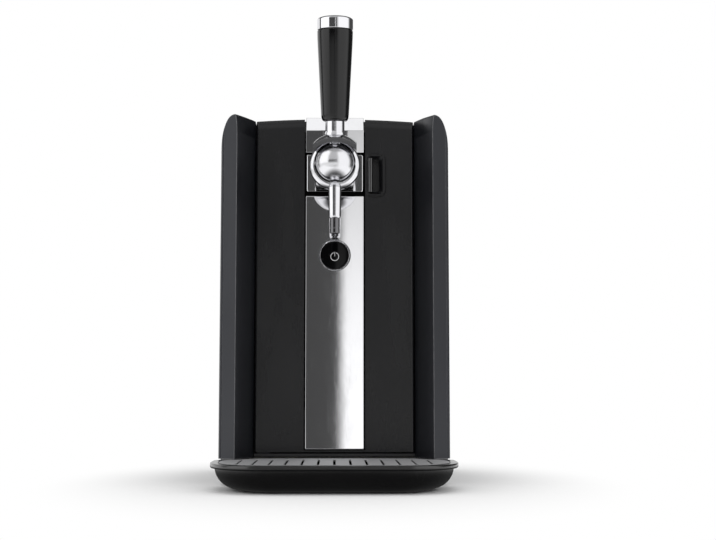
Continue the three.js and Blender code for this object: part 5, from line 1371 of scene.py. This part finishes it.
    def rear_cover(self) -> Form:
        """Tub that closes the rear, with a round grille, intake slots and screw seats.

        Returns:
            The form.
        """
        face = self.depth - self.wall
        outer_line = mirrored(self.shoulder_line(0, self.bottom, self.top))
        outer = Form.prism(outer_line, "y", (self.cover_front, self.depth))
        inner_line = mirrored(self.shoulder_line(self.wall, self.bottom + self.wall, self.top))
        cover = outer.cut(Form.prism(inner_line, "y", (self.cover_front - self.over, face)))
        holes = [self.slots(9, self.grille_reach, self.grille_corner, 0.0)]
        holes.append(self.slots(5, self.intake_reach, 0.0, self.intake_drop))
        through = (face - self.over, self.depth + self.over)
        for x, half, rise in self.sockets:
            up = (self.socket_height - rise, self.socket_height + rise)
            holes.append(Form.plate("y", through, (x - half, x + half), up, self.socket_corner, 4))
        radius, deep = self.screw_seat
        seat = Form.rod("y", radius, self.screw, (self.depth - deep, self.depth + 2), 32)
        return cover.cut(*holes).cut(self.screw_field(seat))

    def screw_field(self, start: Form) -> Form:
        """Repeats a form at the rear cover's eight screw places.

        Args:
            start: The form at the lower left place.

        Returns:
            All eight.
        """
        across, up = self.screw_steps
        column = Row(count=4, step=(0.0, 0.0, up * MM), look=Look.STEEL).grow(start)
        return Row(count=2, step=(across * MM, 0.0, 0.0), look=Look.STEEL).grow(column)

    def screws(self) -> Form:
        """Pan-head screws with cross recesses in the rear cover's seats.

        Returns:
            The form.
        """
        seat = self.depth - 1.6
        x, z = self.screw
        reach, half, low = self.cross
        head = Form.turned(raised(self.screw_head, seat), "y", self.screw, 32)
        for turn in (0, QUARTER_TURN):
            bar = Form.block((-reach, reach), (seat + low, self.depth + 2), (-half, half))
            spin = Matrix.Rotation(turn + 0.35, 4, "Y")
            head.cut(bar.turn(Matrix.Translation((x * MM, 0, z * MM)) @ spin))
        return self.screw_field(head)

    def foot(self) -> Form:
        """Soft feet with a rim and a ring groove underneath.

        Returns:
            The form.
        """
        first = Form.turned(self.foot_profile, "z", self.foot_place, 48)
        across, along = self.foot_steps
        pair = Row(count=2, step=(across * MM, 0.0, 0.0), look=Look.RUBBER).grow(first)
        return Row(count=2, step=(0.0, along * MM, 0.0), look=Look.RUBBER).grow(pair)

    def build(self) -> None:
        """Makes and dresses the outer body."""
        for name, side in (("left", -1), ("right", 1)):
            panel = self.side_panel(side).bevel(0.9, 3)
            panel.piece(f"smooth_panel_{name}", Look.SHELL, "cabinet", f"side_panel_{name}")
        self.top_cover().bevel(0.5).piece("smooth_top", Look.SHELL, "cabinet", "top_cover")
        self.rear_cover().bevel(0.35).piece("vented_rear", Look.PLASTIC, "cabinet", "rear_cover")
        self.screws().piece("rear_screws", Look.STEEL, "cabinet", smooth=30)
        feet = [f"foot_{end}_{side}" for end in ("front", "rear") for side in ("left", "right")]
        self.foot().piece("soft_feet", Look.RUBBER, "cabinet", *feet)
        Form.of_node("base_tub").bevel(0.4).piece("plinth", Look.TRAY, "cabinet", "base_tub")


@dataclass
class Door:
    """Arched door with its strip channel, liner, seal and hinge slot."""

    half: float = 95.9
    bottom: float = 38.4
    top: float = 444.5
    arch: float = 3.3
    front: float = 35.0
    back: float = 47.0
    skin: float = 3.5
    top_round: float = 12.0
    side_round: float = 3.0
    channel_half: float = 36.9
    channel_depth: float = 2.2
    channel_bottom: float = 40.4
    pad_bottom: float = 400.8
    hinge: Pair = (-89.5, 40.0)
    pin_hole: float = 2.3
    pin_spans: tuple[Span, Span] = ((30, 55.6), (408, 424))
    hinge_slot: tuple[Span, Span, Span] = ((-99.9, -87.0), (36.6, 52.3), (416.7, 419.3))
    handle_hole: tuple[Span, Span] = ((39.6, 60.0), (350.4, 395.6))
    display_hole: float = 18.0
    through: Span = (0.0, 60.0)

    def section(self, x: float, front: float, inset: float, back: float) -> list[Point]:
        """Upright section of the door with its round top edge.

        Args:
            x: Where the section stands.
            front: Depth of the front face there.
            inset: How far it is moved in.
            back: Depth of the back face.

        Returns:
            The ring.
        """
        crest = self.top - self.arch * (x / self.half) ** 2
        radius = self.top_round - inset
        centre_y = self.front + self.top_round
        centre_z = crest - self.top_round
        share = (centre_y - front) / radius
        points = [(back, self.bottom + inset), (front, self.bottom + inset)]
        for turn in quarter(14):
            points.append((centre_y - radius * share * math.cos(turn), centre_z + radius * math.sin(turn)))
        if back > centre_y + 0.01:
            points.append((back, crest - inset))
        return [(x, y, z) for y, z in points]

    def body(self, inset: float, back: float) -> Form:
        """Loft of the door across its width.

        Args:
            inset: How far its faces are moved in.
            back: Depth of the back face.

        Returns:
            The solid.
        """
        half, front = self.half - inset, self.front + inset
        radius = max(self.side_round - inset, 0.3)
        ways = [(1 - math.cos(turn), 1 - math.sin(turn)) for turn in quarter(6)]
        stations = [(half - radius * across, front + radius * deep) for across, deep in ways]
        stations += [(half * k / 6, front) for k in range(5, 0, -1)]
        whole = [*stations, (0.0, front), *[(-x, y) for x, y in reversed(stations)]]
        return Form.loft([self.section(x, y, inset, back) for x, y in whole])

    def channel(self, half: float, depth: float) -> Form:
        """Space of the bright strips, which leans back with them over the door's top.

        Args:
            half: Half of its width.
            depth: How far it lies behind the strips' front.

        Returns:
            The space.
        """
        front = STRIP_FRONT + depth
        run, rise = STRIP_FOLD
        elbow = STRIP_ELBOW - depth * (math.hypot(run, rise) - rise) / run
        tail = run + self.back
        high = elbow + tail * rise / run
        outline = [(-20.0, self.channel_bottom), (front, self.channel_bottom), (front, elbow)]
        return Form.prism([*outline, (front + tail, high), (-20.0, high)], "x", (-half, half))

    def openings(self) -> list[Form]:
        """Channel, display hole, handle hole, shank hole, pin holes and hinge slot.

        Returns:
            The forms.
        """
        groove = Form.plate("y", (30, 36.8), *DITCH)
        groove.cut(Form.plate("y", (29, 38), *DITCH_CORE))
        return [
            self.channel(self.channel_half, self.channel_depth).join(groove),
            Form.rod("y", self.display_hole, DISPLAY, self.through, 64),
            Form.plate("y", self.through, *self.handle_hole, 3),
            Form.rod("y", SHANK_HOLE, SHANK, self.through, 48),
            *[Form.rod("z", self.pin_hole, self.hinge, span, 24) for span in self.pin_spans],
            Form.block(*self.hinge_slot),
        ]

    def shell(self) -> Form:
        """Hollow door shell with all its openings.

        Returns:
            The form.
        """
        hollow = self.body(self.skin, self.back + 5)
        pad_half = self.channel_half + self.skin * 2
        pad = self.channel(pad_half, self.channel_depth + self.skin)
        pad.cut(Form.block((-pad_half, pad_half), self.through, (0, self.pad_bottom)))
        boss = Form.block((-self.half, self.hinge[0] + 9), (self.front, self.back), (409, 425))
        return self.body(0, self.back).cut(hollow.cut(pad, boss), *self.openings())

    def build(self) -> None:
        """Makes and dresses the door."""
        self.shell().bevel(0.45, 2).piece("smooth_door", Look.DOOR, "door", "door_shell")
        Form.of_node("door_liner").bevel(0.5).piece("door_plug", Look.LINER, "door", "door_liner")
        Form.of_node("door_gasket").bevel(0.2).piece("door_seal", Look.RUBBER, "door", "door_gasket")


@dataclass
class FrontTrim:
    """Bright strips, tap plate, round display and door handle."""

    strip_half: float = 35.2
    strip_bottom: float = 41.4
    strip_split: float = 347.2
    upper_bottom: float = 400.8
    sheet: float = 1.6
    display_hole: float = 19.4
    plate_half: float = 33.8
    plate_up: Span = (352.7, 397.7)
    plate_swell: float = 0.42
    bezel_radius: float = 19.1
    bezel_lip: tuple[Pair, ...] = ((17.7, 0.5), (17.75, 0.15), (17.9, 0.0), (18.1, 0.1))
    sleeve: Pair = (15.1, 17.1)
    ring: Pair = (4.5, 5.2)
    mark_halves: Pair = (1.4, 0.3)
    window: Pair = (17.1, 0.2)
    tape_span: tuple[Span, Span] = ((-36.8, 36.8), (40.6, 427.4))
    cup: tuple[Span, Span] = ((37.2, 62.4), (346.0, 400.0))
    cup_border: tuple[Point, ...] = ((34.7, 0.0, 9.0), (34.1, 0.0, 9.0), (33.6, 0.5, 8.6), (33.4, 1.3, 8.0))
    cup_rest: tuple[Span, Span] = ((40.2, 59.4), (351, 395))
    cup_mouth: tuple[Span, Span, float] = ((39.6, 59.73), (348.4, 397.6), 4.5)
    cup_well: tuple[Span, Span, float] = ((42.0, 54.4), (352.8, 393.2), 4.5)
    bar: tuple[Span, Span, Span] = ((40.4, 46.0), (31.6, 43.0), (352.2, 393.8))
    through: Span = (20.0, 50.0)

    def lower_strip(self) -> Form:
        """Long strip with rounded edges and the display's hole.

        Returns:
            The form.
        """
        half = (-self.strip_half, self.strip_half)
        falls = ((self.sheet, 0.0), (0.8, 0.0), (0.35, 0.2), (0.08, 0.6), (0.0, 1.1))
        layers = [(STRIP_FRONT + depth, inset, 0.9) for depth, inset in falls]
        strip = Form.tiers(half, (self.strip_bottom, self.strip_split), 6, layers)
        return strip.cut(Form.rod("y", self.display_hole, DISPLAY, self.through, 96))

    def upper_strip(self) -> Form:
        """Short strip that folds back over the door's top.

        Returns:
            The form.
        """
        front, inner = STRIP_FRONT, STRIP_FRONT + self.sheet
        run, rise = STRIP_FOLD
        crest, hem_low, rear = STRIP_ELBOW + rise, 444.4, 50.0
        elbow = STRIP_ELBOW - self.sheet * (math.hypot(run, rise) - rise) / run
        hem = inner + (hem_low - elbow) * run / rise
        outline = [(front, self.upper_bottom), (front, STRIP_ELBOW), (front + run, crest), (rear, crest)]
        outline += [(rear, hem_low), (hem, hem_low), (inner, elbow), (inner, self.upper_bottom)]
        return Form.prism(outline, "x", (-self.strip_half, self.strip_half))

    def tap_plate(self) -> Form:
        """Plate under the tap with a sloping border and a shallow crown.

        Returns:
            The form.
        """
        half, slope, edge = self.plate_half, 0.55, 0.6
        back, crown_back = 35.6, 34.6
        layers = ((back, 0.0, 1.6), (STRIP_FRONT + 0.35, 0.0, 1.6), (STRIP_FRONT, slope, 1.6))
        plate = Form.tiers((-half, half), self.plate_up, 6, layers)
        reach = half + 0.4
        across = [reach * (2 * share - 1) for share in shares(40)]
        face = [(x, STRIP_FRONT - 0.45 + self.plate_swell * (x / reach) ** 2) for x in across]
        up = (self.plate_up[0] + edge, self.plate_up[1] - edge)
        crown = Form.prism([*face, (reach, crown_back), (-reach, crown_back)], "z", up)
        plate.join(crown.meet(Form.plate("y", (30, 36), (edge - half, half - edge), up, 1.3, 6)))
        return plate.cut(Form.rod("y", SHANK_HOLE, SHANK, self.through, 64))

    def bezel(self) -> Form:
        """Ring round the display, with a sleeve through the door.

        Returns:
            The form.
        """
        front, wide = STRIP_FRONT - 0.8, self.bezel_radius
        (inner, outer), (seat, back, end) = self.sleeve, (35.4, 35.9, 41.5)
        profile = raised(self.bezel_lip, front)
        profile += [(wide, front + 1), (wide, back), (outer, back), (outer, end), (inner, end)]
        profile += [(inner, seat), (profile[0][0], seat), profile[0]]
        return Form.turned(profile, "y", DISPLAY, 96)

    def glass(self) -> Form:
        """Slightly domed window.

        Returns:
            The form.
        """
        front, (flat, dome) = STRIP_FRONT - 0.65, self.window
        profile = [(flat * share, front + dome * share**2) for share in shares(8)]
        profile += [(17.4, front + 0.45), (17.4, 35.1), (0, 35.1)]
        return Form.turned(profile, "y", DISPLAY, 96)

    def mark(self) -> Form:
        """Thin open ring and tick, just proud of the window.

        Returns:
            The form.
        """
        front, height = STRIP_FRONT - 0.76, DISPLAY[1]
        depths = (front, front + 0.5)
        inner, outer = self.ring
        corners = ((inner, 0), (outer, 0), (outer, 1), (inner, 1), (inner, 0))
        profile = [(radius, depths[k]) for radius, k in corners]
        ring = Form.turned(profile, "y", (0, height - 1.6), 64)
        gap_half, tick_half = self.mark_halves
        gap = Form.block((-gap_half, gap_half), self.through, (height + 1.2, height + 6))
        tick = Form.block((-tick_half, tick_half), depths, (height - 1.2, height + 4.0))
        return ring.cut(gap).join(tick)

    def tape(self) -> Form:
        """Black foam tape that holds the strips, near-black and dull so that it shows as painted shade in
        their gaps.

        Returns:
            The form.
        """
        front, back = STRIP_FRONT + self.sheet + 0.1, 36.17
        tape = Form.plate("y", (front, back), *self.tape_span, 1.0, 4)
        depths = (front - 1, back + 1)
        display = Form.rod("y", self.display_hole - 0.1, DISPLAY, depths, 64)
        return tape.cut(display, Form.rod("y", SHANK_HOLE + 0.1, SHANK, depths, 48))

    def handle_cup(self) -> Form:
        """Cup sunk in the door with a raised, sloping border.

        Returns:
            The form.
        """
        groove = Form.plate("y", (30, 34.55), *DITCH)
        groove.cut(Form.plate("y", (29, 35), *DITCH_CORE))
        rest = Form.plate("y", (34, 50), *self.cup_rest, 3)
        cup = Form.tiers(*self.cup, 10, self.cup_border).join(rest).cut(groove)
        boxes = ((31.8, self.cup_mouth), (38.0, self.cup_well), (48.2, self.cup_well))
        hollow = Form.stack("y", [(y, rounded_box(*box)) for y, box in boxes])
        return cup.cut(hollow, self.bar_form(SEAT_GAP))

    def bar_form(self, grow: float) -> Form:
        """Upright bar that the fingers pull, or the space that it needs."""
        across, deep, up = [(low - grow, high + grow) for low, high in self.bar]
        return Form.plate("z", up, across, deep, 2.5)

    def build(self) -> None:
        """Makes and dresses the trim."""
        self.lower_strip().bevel(0.45, 3).piece("bright_lower", Look.CHROME, "door", "lower_strip")
        self.upper_strip().bevel(0.45, 3, 25).piece("bright_upper", Look.CHROME, "door", "upper_strip")
        self.tap_plate().bevel(0.25, 2, 50).piece("bright_plate", Look.CHROME, "door", "tap_plate")
        self.bezel().piece("display_ring", Look.CAP_CHROME, "door", "display_bezel")
        self.glass().piece("display_window", Look.WINDOW, "door", "display_glass")
        self.mark().piece("display_mark", Look.MARK, "door")
        self.handle_cup().bevel(0.35, 2).piece("finger_cup", Look.DOOR, "door", "handle_cup")
        self.bar_form(0).bevel(0.3, 2, 50).piece("finger_bar", Look.BAR, "door", "handle_bar")
        self.tape().piece("strip_tape", Look.TAPE, "door")


@dataclass
class Tap:
    """Housing with its ball, spout and nozzle."""

    housing: Pair = (29.5, 29.4)
    drop: float = 1.9
    ball_radius: float = 23.0
    socket_radius: float = 24.3
    face: float = -57.0
    rim: tuple[Pair, ...] = (
        (29.6, 11.0), (29.5, 7.0), (29.0, 4.4), (28.1, 2.6), (26.8, 1.2), (25.2, 0.3), (23.6, 0.0)
    )
    neck_y: float = -44.0
    boss: tuple[Point, ...] = ((22, 354, -1), (25, 376, 0), (21, 394, 1))
    boss_flare: tuple[Pair, ...] = ((28.0, 0.0), (33.3, 1.0))
    shank_radius: float = 12.0
    shank_span: Span = (28, 71)
    web: Point = (6, 0.6, 349.2)
    slot: Pair = (5.6, 404.6)
    pivot_half: float = 27.3
    stem_hole: float = 4.7
    stem_span: Span = (380.7, 400)
    bore: float = 4.5
    spout_y: float = -60.0
    spout_top: float = 343.3
    spout_bottom: float = 306.9
    spout_seat: float = 7.9
    outlet: tuple[Pair, ...] = ((0, SEAT_GAP), (7.6, SEAT_GAP), (7.6, 1), (6.9, 2), (2.5, 6), (0, 6))
    spout_head: tuple[Pair, ...] = ((5.2, 0), (7.2, 0), (7.6, -0.4))
    spout_lip: tuple[Pair, ...] = ((6.95, 2.6), (6.75, 1.6), (6.3, 0.7), (5.7, 0), (5.2, 0.2))
    nozzle_bottom: float = 289.5
    nozzle_skirt: tuple[Pair, ...] = (
        (3.6, 0.3), (3.9, 0), (5.0, 0), (5.5, 0.3), (5.7, 0.9), (5.7, 5.2), (5.5, 5.5), (5.5, 6.1), (5.7, 6.4)
    )
    nozzle_neck: tuple[Pair, ...] = ((5.7, 0), (4.9, 0), (4.9, 14), (3.6, 14))

    def mouth(self) -> Form:
        """Space with a rounded rim that the front of the housing keeps to.

        Returns:
            The form.
        """
        back = [(0, 10), (40, 10), (40, self.face + self.rim[0][1])]
        profile = [*back, *raised(self.rim, self.face), (0, self.face)]
        return Form.turned(profile, "y", (0, BALL_Z - self.drop))

    def housing_form(self) -> Form:
        """Housing with its waisted boss, shank, socket and outlet cone.

        Returns:
            The form.
        """
        shell = Form.barrel(*self.housing).turn(Matrix.Translation((0, 0, -self.drop * MM)))
        top = self.spout_top
        seat = Form.rod("z", self.spout_seat, (0, self.spout_y), (top - 5, top + SEAT_GAP))
        shell.meet(self.mouth()).cut(seat)
        sections = []
        for y, flare in ((self.neck_y, 0.0), *self.boss_flare):
            sections.append((y, mirrored([(x + flare, z + way * flare) for x, z, way in self.boss])))
        shank = Form.rod("y", self.shank_radius, SHANK, self.shank_span)
        shoulder = Form.turned(raised(self.outlet, top), "z", (0, self.spout_y))
        half, low, high = self.web
        web = Form.block((-half, half), (self.spout_y, self.neck_y), (top + low, high))
        body = shell.join(Form.stack("y", sections), shank, shoulder, web)
        half, high = self.slot
        return body.cut(
            Form.barrel(self.socket_radius, self.socket_radius, 48),
            Form.block((-half, half), (-63, self.neck_y - 0.4), (BALL_Z, high)),
            Form.rod("x", PIVOT_HOLE, (BALL_Y, BALL_Z), (-self.pivot_half, self.pivot_half)),
            Form.rod("y", self.bore, SHANK, (-29, 76)),
            Form.rod("z", self.bore, (0, self.spout_y), (338, top + 2.25)),
        )

    def ball_form(self) -> Form:
        """Ball with its stem hole and pivot bore.

        Returns:
            The form.
        """
        stem = Form.rod("z", self.stem_hole, (0, BALL_Y), self.stem_span)
        pivot = Form.rod("x", PIVOT_HOLE, (BALL_Y, BALL_Z), (-28, 28))
        return Form.barrel(self.ball_radius, self.ball_radius, 64, 128).cut(stem, pivot)

    def spout(self) -> Form:
        """Tapered spout with a rolled end.

        Returns:
            The form.
        """
        profile = raised(self.spout_head, self.spout_top) + raised(self.spout_lip, self.spout_bottom)
        return Form.turned([*profile, profile[0]], "z", (0, self.spout_y), 64)

    def nozzle(self) -> Form:
        """Soft outlet with a groove, pressed in the spout.

        Returns:
            The form.
        """
        neck = raised(self.nozzle_neck, self.spout_bottom - SEAT_GAP)
        profile = [*raised(self.nozzle_skirt, self.nozzle_bottom), *neck]
        return Form.turned([*profile, profile[0]], "z", (0, self.spout_y), 64)

    def build(self) -> None:
        """Makes and dresses the tap."""
        self.housing_form().bevel(0.5, 3).piece("tap_housing", Look.TAP_CHROME, "door", "tap_body", smooth=32)
        self.ball_form().bevel(0.3, 2).piece("tap_sphere", Look.BALL_CHROME, "tap_lever", "tap_ball")
        self.spout().piece("bright_spout", Look.TAP_CHROME, "door", "spout")
        self.nozzle().piece("soft_nozzle", Look.NOZZLE, "door", "outlet_nozzle")
        Form.of_node("shank_nut").bevel(0.4).piece("shank_hex", Look.STEEL, "door", "shank_nut")
        Form.of_node("tap_pivot_pin").clean().piece("pivot_rod", Look.STEEL, "door", "tap_pivot_pin")


@dataclass
class Lever:
    """Hood, neck, grip and cap that lean forward together; heights count from the ball's centre."""

    tap: Tap = field(default_factory=Tap)
    tilt: float = 6.0
    hood_radius: float = 28.4
    hood_sheet: float = 6.0
    hood_half: float = 24.8
    spread: Pair = (0.6, 0.34)
    neck_foot: tuple[Pair, ...] = ((0, 0), (12.2, 0), (11.9, 3.1), (11.3, 4.2), (11, 5.6))
    neck_head: tuple[Pair, ...] = ((11, -0.5), (10.5, 0), (0, 0))
    stem: float = 4.4
    socket: float = 4.7
    grip_bottom: float = 48.6
    grip_top: float = 152.6
    grip_radii: Pair = (16.0, 20.6)
    grip_foot: tuple[Pair, ...] = (
        (-2.3, 0.25), (-1.65, 0.9), (-1.05, 2.0), (-0.6, 3.3), (-0.25, 4.8), (0.0, 6.5)
    )
    grip_head: tuple[Pair, ...] = ((-0.2, -9), (0, -1.4), (-0.3, -0.5), (-0.9, 0))
    flare_start: float = 6.5
    flare_end: float = 18.0
    cap_dome: float = 4.2
    plug: float = 7.7
    cap_top: float = 168.54

    def lean(self, form: Form) -> Form:
        """Leans a form forward about the ball's centre.

        Args:
            form: The form, upright.

        Returns:
            The form, leant.
        """
        centre = spot(0, BALL_Y, BALL_Z)
        turn = Matrix.Rotation(math.radians(self.tilt), 4, "X")
        return form.turn(Matrix.Translation(centre) @ turn @ Matrix.Translation(-centre))

    def up(self, profile: Sequence[Pair], steps: int = 96) -> Form:
        """Turns a profile about the upright lever."""
        return Form.turned([(r, BALL_Z + h) for r, h in profile], "z", (0, BALL_Y), steps)

    def bar(self, low: float, high: float) -> Form:
        """Upright bar inside the lever."""
        return self.up([(0, low), (self.stem, low), (self.stem, high), (0, high)], 32)

    def neck(self) -> Form:
        """Hood that rides over the housing, with the neck and its stem.

        Returns:
            The form.
        """
        half, radius = self.tap.housing[0] + 0.8, self.hood_radius
        outer = Form.barrel(half + self.hood_sheet * 0.7, radius + self.hood_sheet)
        wedge = [(BALL_Y, BALL_Z)]
        reach = radius * 2
        for way in (self.spread[1], -self.spread[0]):
            wedge.append((BALL_Y + reach * math.sin(way), BALL_Z + reach * math.cos(way)))
        span = (-self.hood_half, self.hood_half)
        hood = outer.meet(Form.prism(wedge, "x", span)).cut(Form.barrel(half, radius))
        foot, top = radius + self.hood_sheet / 2, self.grip_bottom - SEAT_GAP
        profile = raised(self.neck_foot, foot) + raised(self.neck_head, top)
        neck = self.up(profile)
        return hood.join(neck, self.bar(9, foot + 1), self.bar(top - 2, top + 30))

    def grip(self) -> Form:
        """Tapered grip, wider at the top.

        Returns:
            The form.
        """
        low, high, socket = self.grip_bottom, self.grip_top, self.socket
        foot, head = self.grip_radii
        profile = [(socket, low), (foot - 3, low), *[(foot + r, low + h) for r, h in self.grip_foot]]
        start, end = low + self.flare_start, high - self.flare_end
        flare = head - 0.6 - foot
        profile += [(foot + flare * share, start + (end - start) * share) for share in shares(8)[1:]]
        profile += [(head + r, high + h) for r, h in self.grip_head]
        profile += [(8, high), (8, high - 8), (0, high - 8), (0, low + 32), (socket, low + 32)]
        return self.up([*profile, profile[0]])

    def cap(self) -> Form:
        """Domed bright cap with a plug that sits in the grip.

        Returns:
            The form.
        """
        low, top, dome, plug = self.grip_top + SEAT_GAP, self.cap_top, self.cap_dome, self.plug
        wide = self.grip_radii[1] + 0.2
        profile = [(0, low - 7.4), (plug, low - 7.4), (plug, low), (wide - 0.7, low), (wide - 0.2, low + 0.3)]
        profile += [(wide, low + 0.9), (wide, top - dome)]
        for turn in quarter(14)[1:-1]:
            profile.append((wide * math.cos(turn) ** 0.6, top - dome + dome * math.sin(turn)))
        return self.up([*profile, (0, top)])

    def build(self) -> None:
        """Makes and dresses the lever."""
        hood = self.lean(self.neck().bevel(0.45, 3))
        hood.piece("lever_hood", Look.TAP_CHROME, "tap_lever", "lever_neck", smooth=32)
        self.lean(self.grip().clean()).piece("black_grip", Look.GRIP, "tap_lever", "lever_grip")
        self.lean(self.cap()).piece("bright_cap", Look.CAP_CHROME, "tap_lever", "grip_cap")


@dataclass
class Tray:
    """Drip tray with its swept bowl, and the slotted grid that lies in it."""

    half: float = 140.0
    reach: float = 137.0
    corner: Pair = (60.0, 90.0)
    rim_low: float = 25.3
    rim_width: float = 5.0
    rim: tuple[Pair, ...] = (
        (1.6, 25.3), (0.7, 25.6), (0.15, 26.4), (0, 27.4), (0, 29.4), (0.2, 30.4), (0.7, 31), (1.4, 31.2)
    )
    ledge: float = 27.3
    well: float = 24.3
    above: float = 36.2
    heel: float = 10.0
    throat: float = 116.8
    tongue: float = 96.9
    tongue_back: float = 30.0
    wall: float = 2.5
    floor: float = 1.2
    sweep: float = 26.0
    grid_half: float = 129.5
    grid_front: float = -128.5
    grid_corner: Pair = (55.0, 70.0)
    grid_shoulder: float = -50.0
    grid_throat: float = 108.0
    grid_tongue: Pair = (94.0, 24.0)
    grid_top: float = 31.5
    grid_skirt: float = 27.6
    grid_sheet: float = 1.2
    slot_pitch: float = 17.8
    slot_width: float = 2.8
    sole: Pair = (-68.0, -85.0)
    sole_profile: tuple[Pair, ...] = ((0, 0), (7.4, 0), (8, 0.4), (8, 0.9), (0, 0.9))

    def plan(self, side: float, front: float, back: float, level: float) -> list[Point]:
        """Plan of the tray moved in by insets.

        Args:
            side: Inset of the sides.
            front: Inset of the front.
            back: Inset of the back.
            level: Height of the ring.

        Returns:
            The ring.
        """
        half = self.half - side
        nose = -self.reach + front
        wide, deep = self.corner[0] - side / 2, self.corner[1] - front / 2
        shoulder, heel = -2 - back, self.heel
        throat = min(self.throat - 2.4 - back, half - heel - 2)
        tongue = min(self.tongue + 1 - back, throat - 2)
        right = arc((half - wide, nose + deep), (wide, deep), -90, 0, 20)
        right += arc((half - heel, shoulder - heel), (heel, heel), 0, 90, 6)
        right += [(throat, shoulder), (tongue, self.tongue_back - back)]
        return [(x, y, level) for x, y in mirrored(right)]

    def bowl(self, wall: float, floor: float) -> Form:
        """Bowl whose insets grow along quarter ellipses down to the floor.

        Args:
            wall: How far its wall is moved in.
            floor: Level of its floor.

        Returns:
            The solid.
        """
        top = self.rim_low + 1
        rings = []
        rim = self.rim_width + wall
        for turn in quarter(18):
            grown = rim + self.sweep * (1 - math.sin(turn))
            rings.append(self.plan(grown, grown, rim, floor + (top - floor) * (1 - math.cos(turn))))
        return Form.loft(rings)

    def grid_plan(self, inset: float) -> list[Pair]:
        """Plan of the grid moved in by an inset, with a curved shoulder at the rear.

        Args:
            inset: The inset.

        Returns:
            The outline.
        """
        half = self.grid_half - inset
        wide, deep = self.grid_corner
        tip = self.grid_shoulder
        right = arc((half - wide, self.grid_front + inset + deep), (wide, deep), -90, 0, 20)
        for t in shares(10):
            start, bend, end = (1 - t) ** 2, 2 * t * (1 - t), t * t
            x = start * half + bend * half + end * (self.grid_throat - inset)
            right.append((x, start * tip + bend * tip / 5 + end * tip / 10))
        tongue, rear = self.grid_tongue
        return mirrored([*right, (tongue - inset, rear - inset)])

    def tray_form(self) -> Form:
        """Rim and bowl with the grid's recess.

        Returns:
            The form.
        """
        rim = Form.loft([self.plan(inset, inset, 0, level) for inset, level in self.rim])
        body = rim.join(self.bowl(0, self.floor))
        well = Form.prism(self.grid_plan(4), "z", (self.well, self.above))
        recess = Form.prism(self.grid_plan(-0.6), "z", (self.ledge, self.above))
        return body.cut(self.bowl(self.wall, self.floor + self.wall), well, recess)

    def grid_form(self) -> Form:
        """Steel grid: a skirted plate with slots that follow its round corners.

        Returns:
            The form.
        """
        sheet, top = self.grid_sheet, self.grid_top
        plate = Form.prism(self.grid_plan(0), "z", (self.grid_skirt, top))
        plate.cut(Form.prism(self.grid_plan(sheet), "z", (20, top - sheet)))
        wide, deep = self.grid_corner
        slots = Slots(
            count=13,
            pitch=self.slot_pitch * MM,
            width=self.slot_width * MM,
            depth=0.03,
            flat=(self.grid_half - wide) * MM,
            corner=wide * MM,
            far=-7.4 * MM,
            far_drop=10 * MM,
            near=(self.grid_front + 6.4) * MM,
            near_drop=deep * MM,
            look=Look.GRID,
        )
        return plate.cut(slots.grow().turn(Matrix.Translation(spot(0, 0, top))))

    def build(self) -> None:
        """Makes and dresses the tray."""
        self.tray_form().bevel(0.35, 2, 40).piece("smooth_tray", Look.TRAY, "drip_tray", "tray_bowl")
        self.grid_form().bevel(0.35, 2, 40).piece("slotted_grid", Look.GRID, "grid", "drip_grid")
        pad = Form.turned(self.sole_profile, "z", self.sole, 48)
        pads = Row(count=2, step=(-2 * self.sole[0] * MM, 0.0, 0.0), look=Look.RUBBER).grow(pad)
        pads.piece("tray_soles", Look.RUBBER, "drip_tray", "tray_pad_left", "tray_pad_right")


@dataclass
class Inside:
    """What lies behind the door and the rear cover."""

    refined: tuple[tuple, ...] = (
        ("front_frame", Look.PLASTIC, 0.4),
        ("steel_land", Look.STEEL, 0.2),
        ("hinge_lower", Look.HINGE, 0.2),
        ("hinge_upper", Look.HINGE, 0.2),
        ("chamber_liner", Look.LINER, 0.5),
        ("keg_seat", Look.LINER, 0.5),
        ("gas_coupling", Look.BRASS, 0.2),
        ("power_inlet", Look.PLASTIC, 0.25),
        ("switch_frame", Look.PLASTIC, 0.25),
        ("rocker", Look.RUBBER, 0.4, "rocker"),
        ("fan_frame", Look.PLASTIC, 0.4),
        ("fan_rotor", Look.PLASTIC, 0.2, "fan"),
        ("heat_sink", Look.ALUMINIUM, 0.15),
    )
    carried: tuple[tuple[str, Look], ...] = (
        ("foam_jacket", Look.FOAM),
        ("door_foam", Look.FOAM),
        ("display_board", Look.BOARD),
        ("control_board", Look.BOARD),
        ("cooling_module", Look.CERAMIC),
        ("cold_plate", Look.ALUMINIUM),
        ("gas_pipe", Look.PLASTIC),
        ("air_pump", Look.PLASTIC),
        ("power_supply", Look.STEEL),
    )

    def refine(self, node: str, look: Look, edge: float, body: str = "cabinet") -> None:
        """Dresses a merged copy of a node with rounded edges.

        Args:
            node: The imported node.
            look: Its finish.
            edge: Width of the rounded edges.
            body: The body that it rides on.
        """
        split = node in ("chamber_liner", "hinge_lower")
        Form.of_node(node).bevel(edge, split=split).piece(f"fine_{node}", look, body, node)

    def carry(self, node: str, look: Look) -> None:
        """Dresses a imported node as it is.

        Args:
            node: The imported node.
            look: Its finish.
        """
        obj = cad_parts[node]
        obj.data.materials.clear()
        obj.data.materials.append(look.made())
        LOG.info("%s: carried over", node)

    def build(self) -> None:
        """Dresses every inner piece."""
        for row in self.refined:
            self.refine(*row)
        for row in self.carried:
            self.carry(*row)


def main() -> None:
    """Builds the machine and its studio, and works out both boxes."""
    logging.basicConfig(level=logging.INFO, format="%(message)s")
    tap = Tap()
    for part in (Studio(), Cabinet(), Door(), FrontTrim(), tap, Lever(tap=tap), Tray(), Inside()):
        part.build()
    boxes = {"cad": CAD_BOX, "visual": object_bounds()}
    {key: [list(corner) for corner in box] for key, box in boxes.items()}


if __name__ == "__main__":
    main()
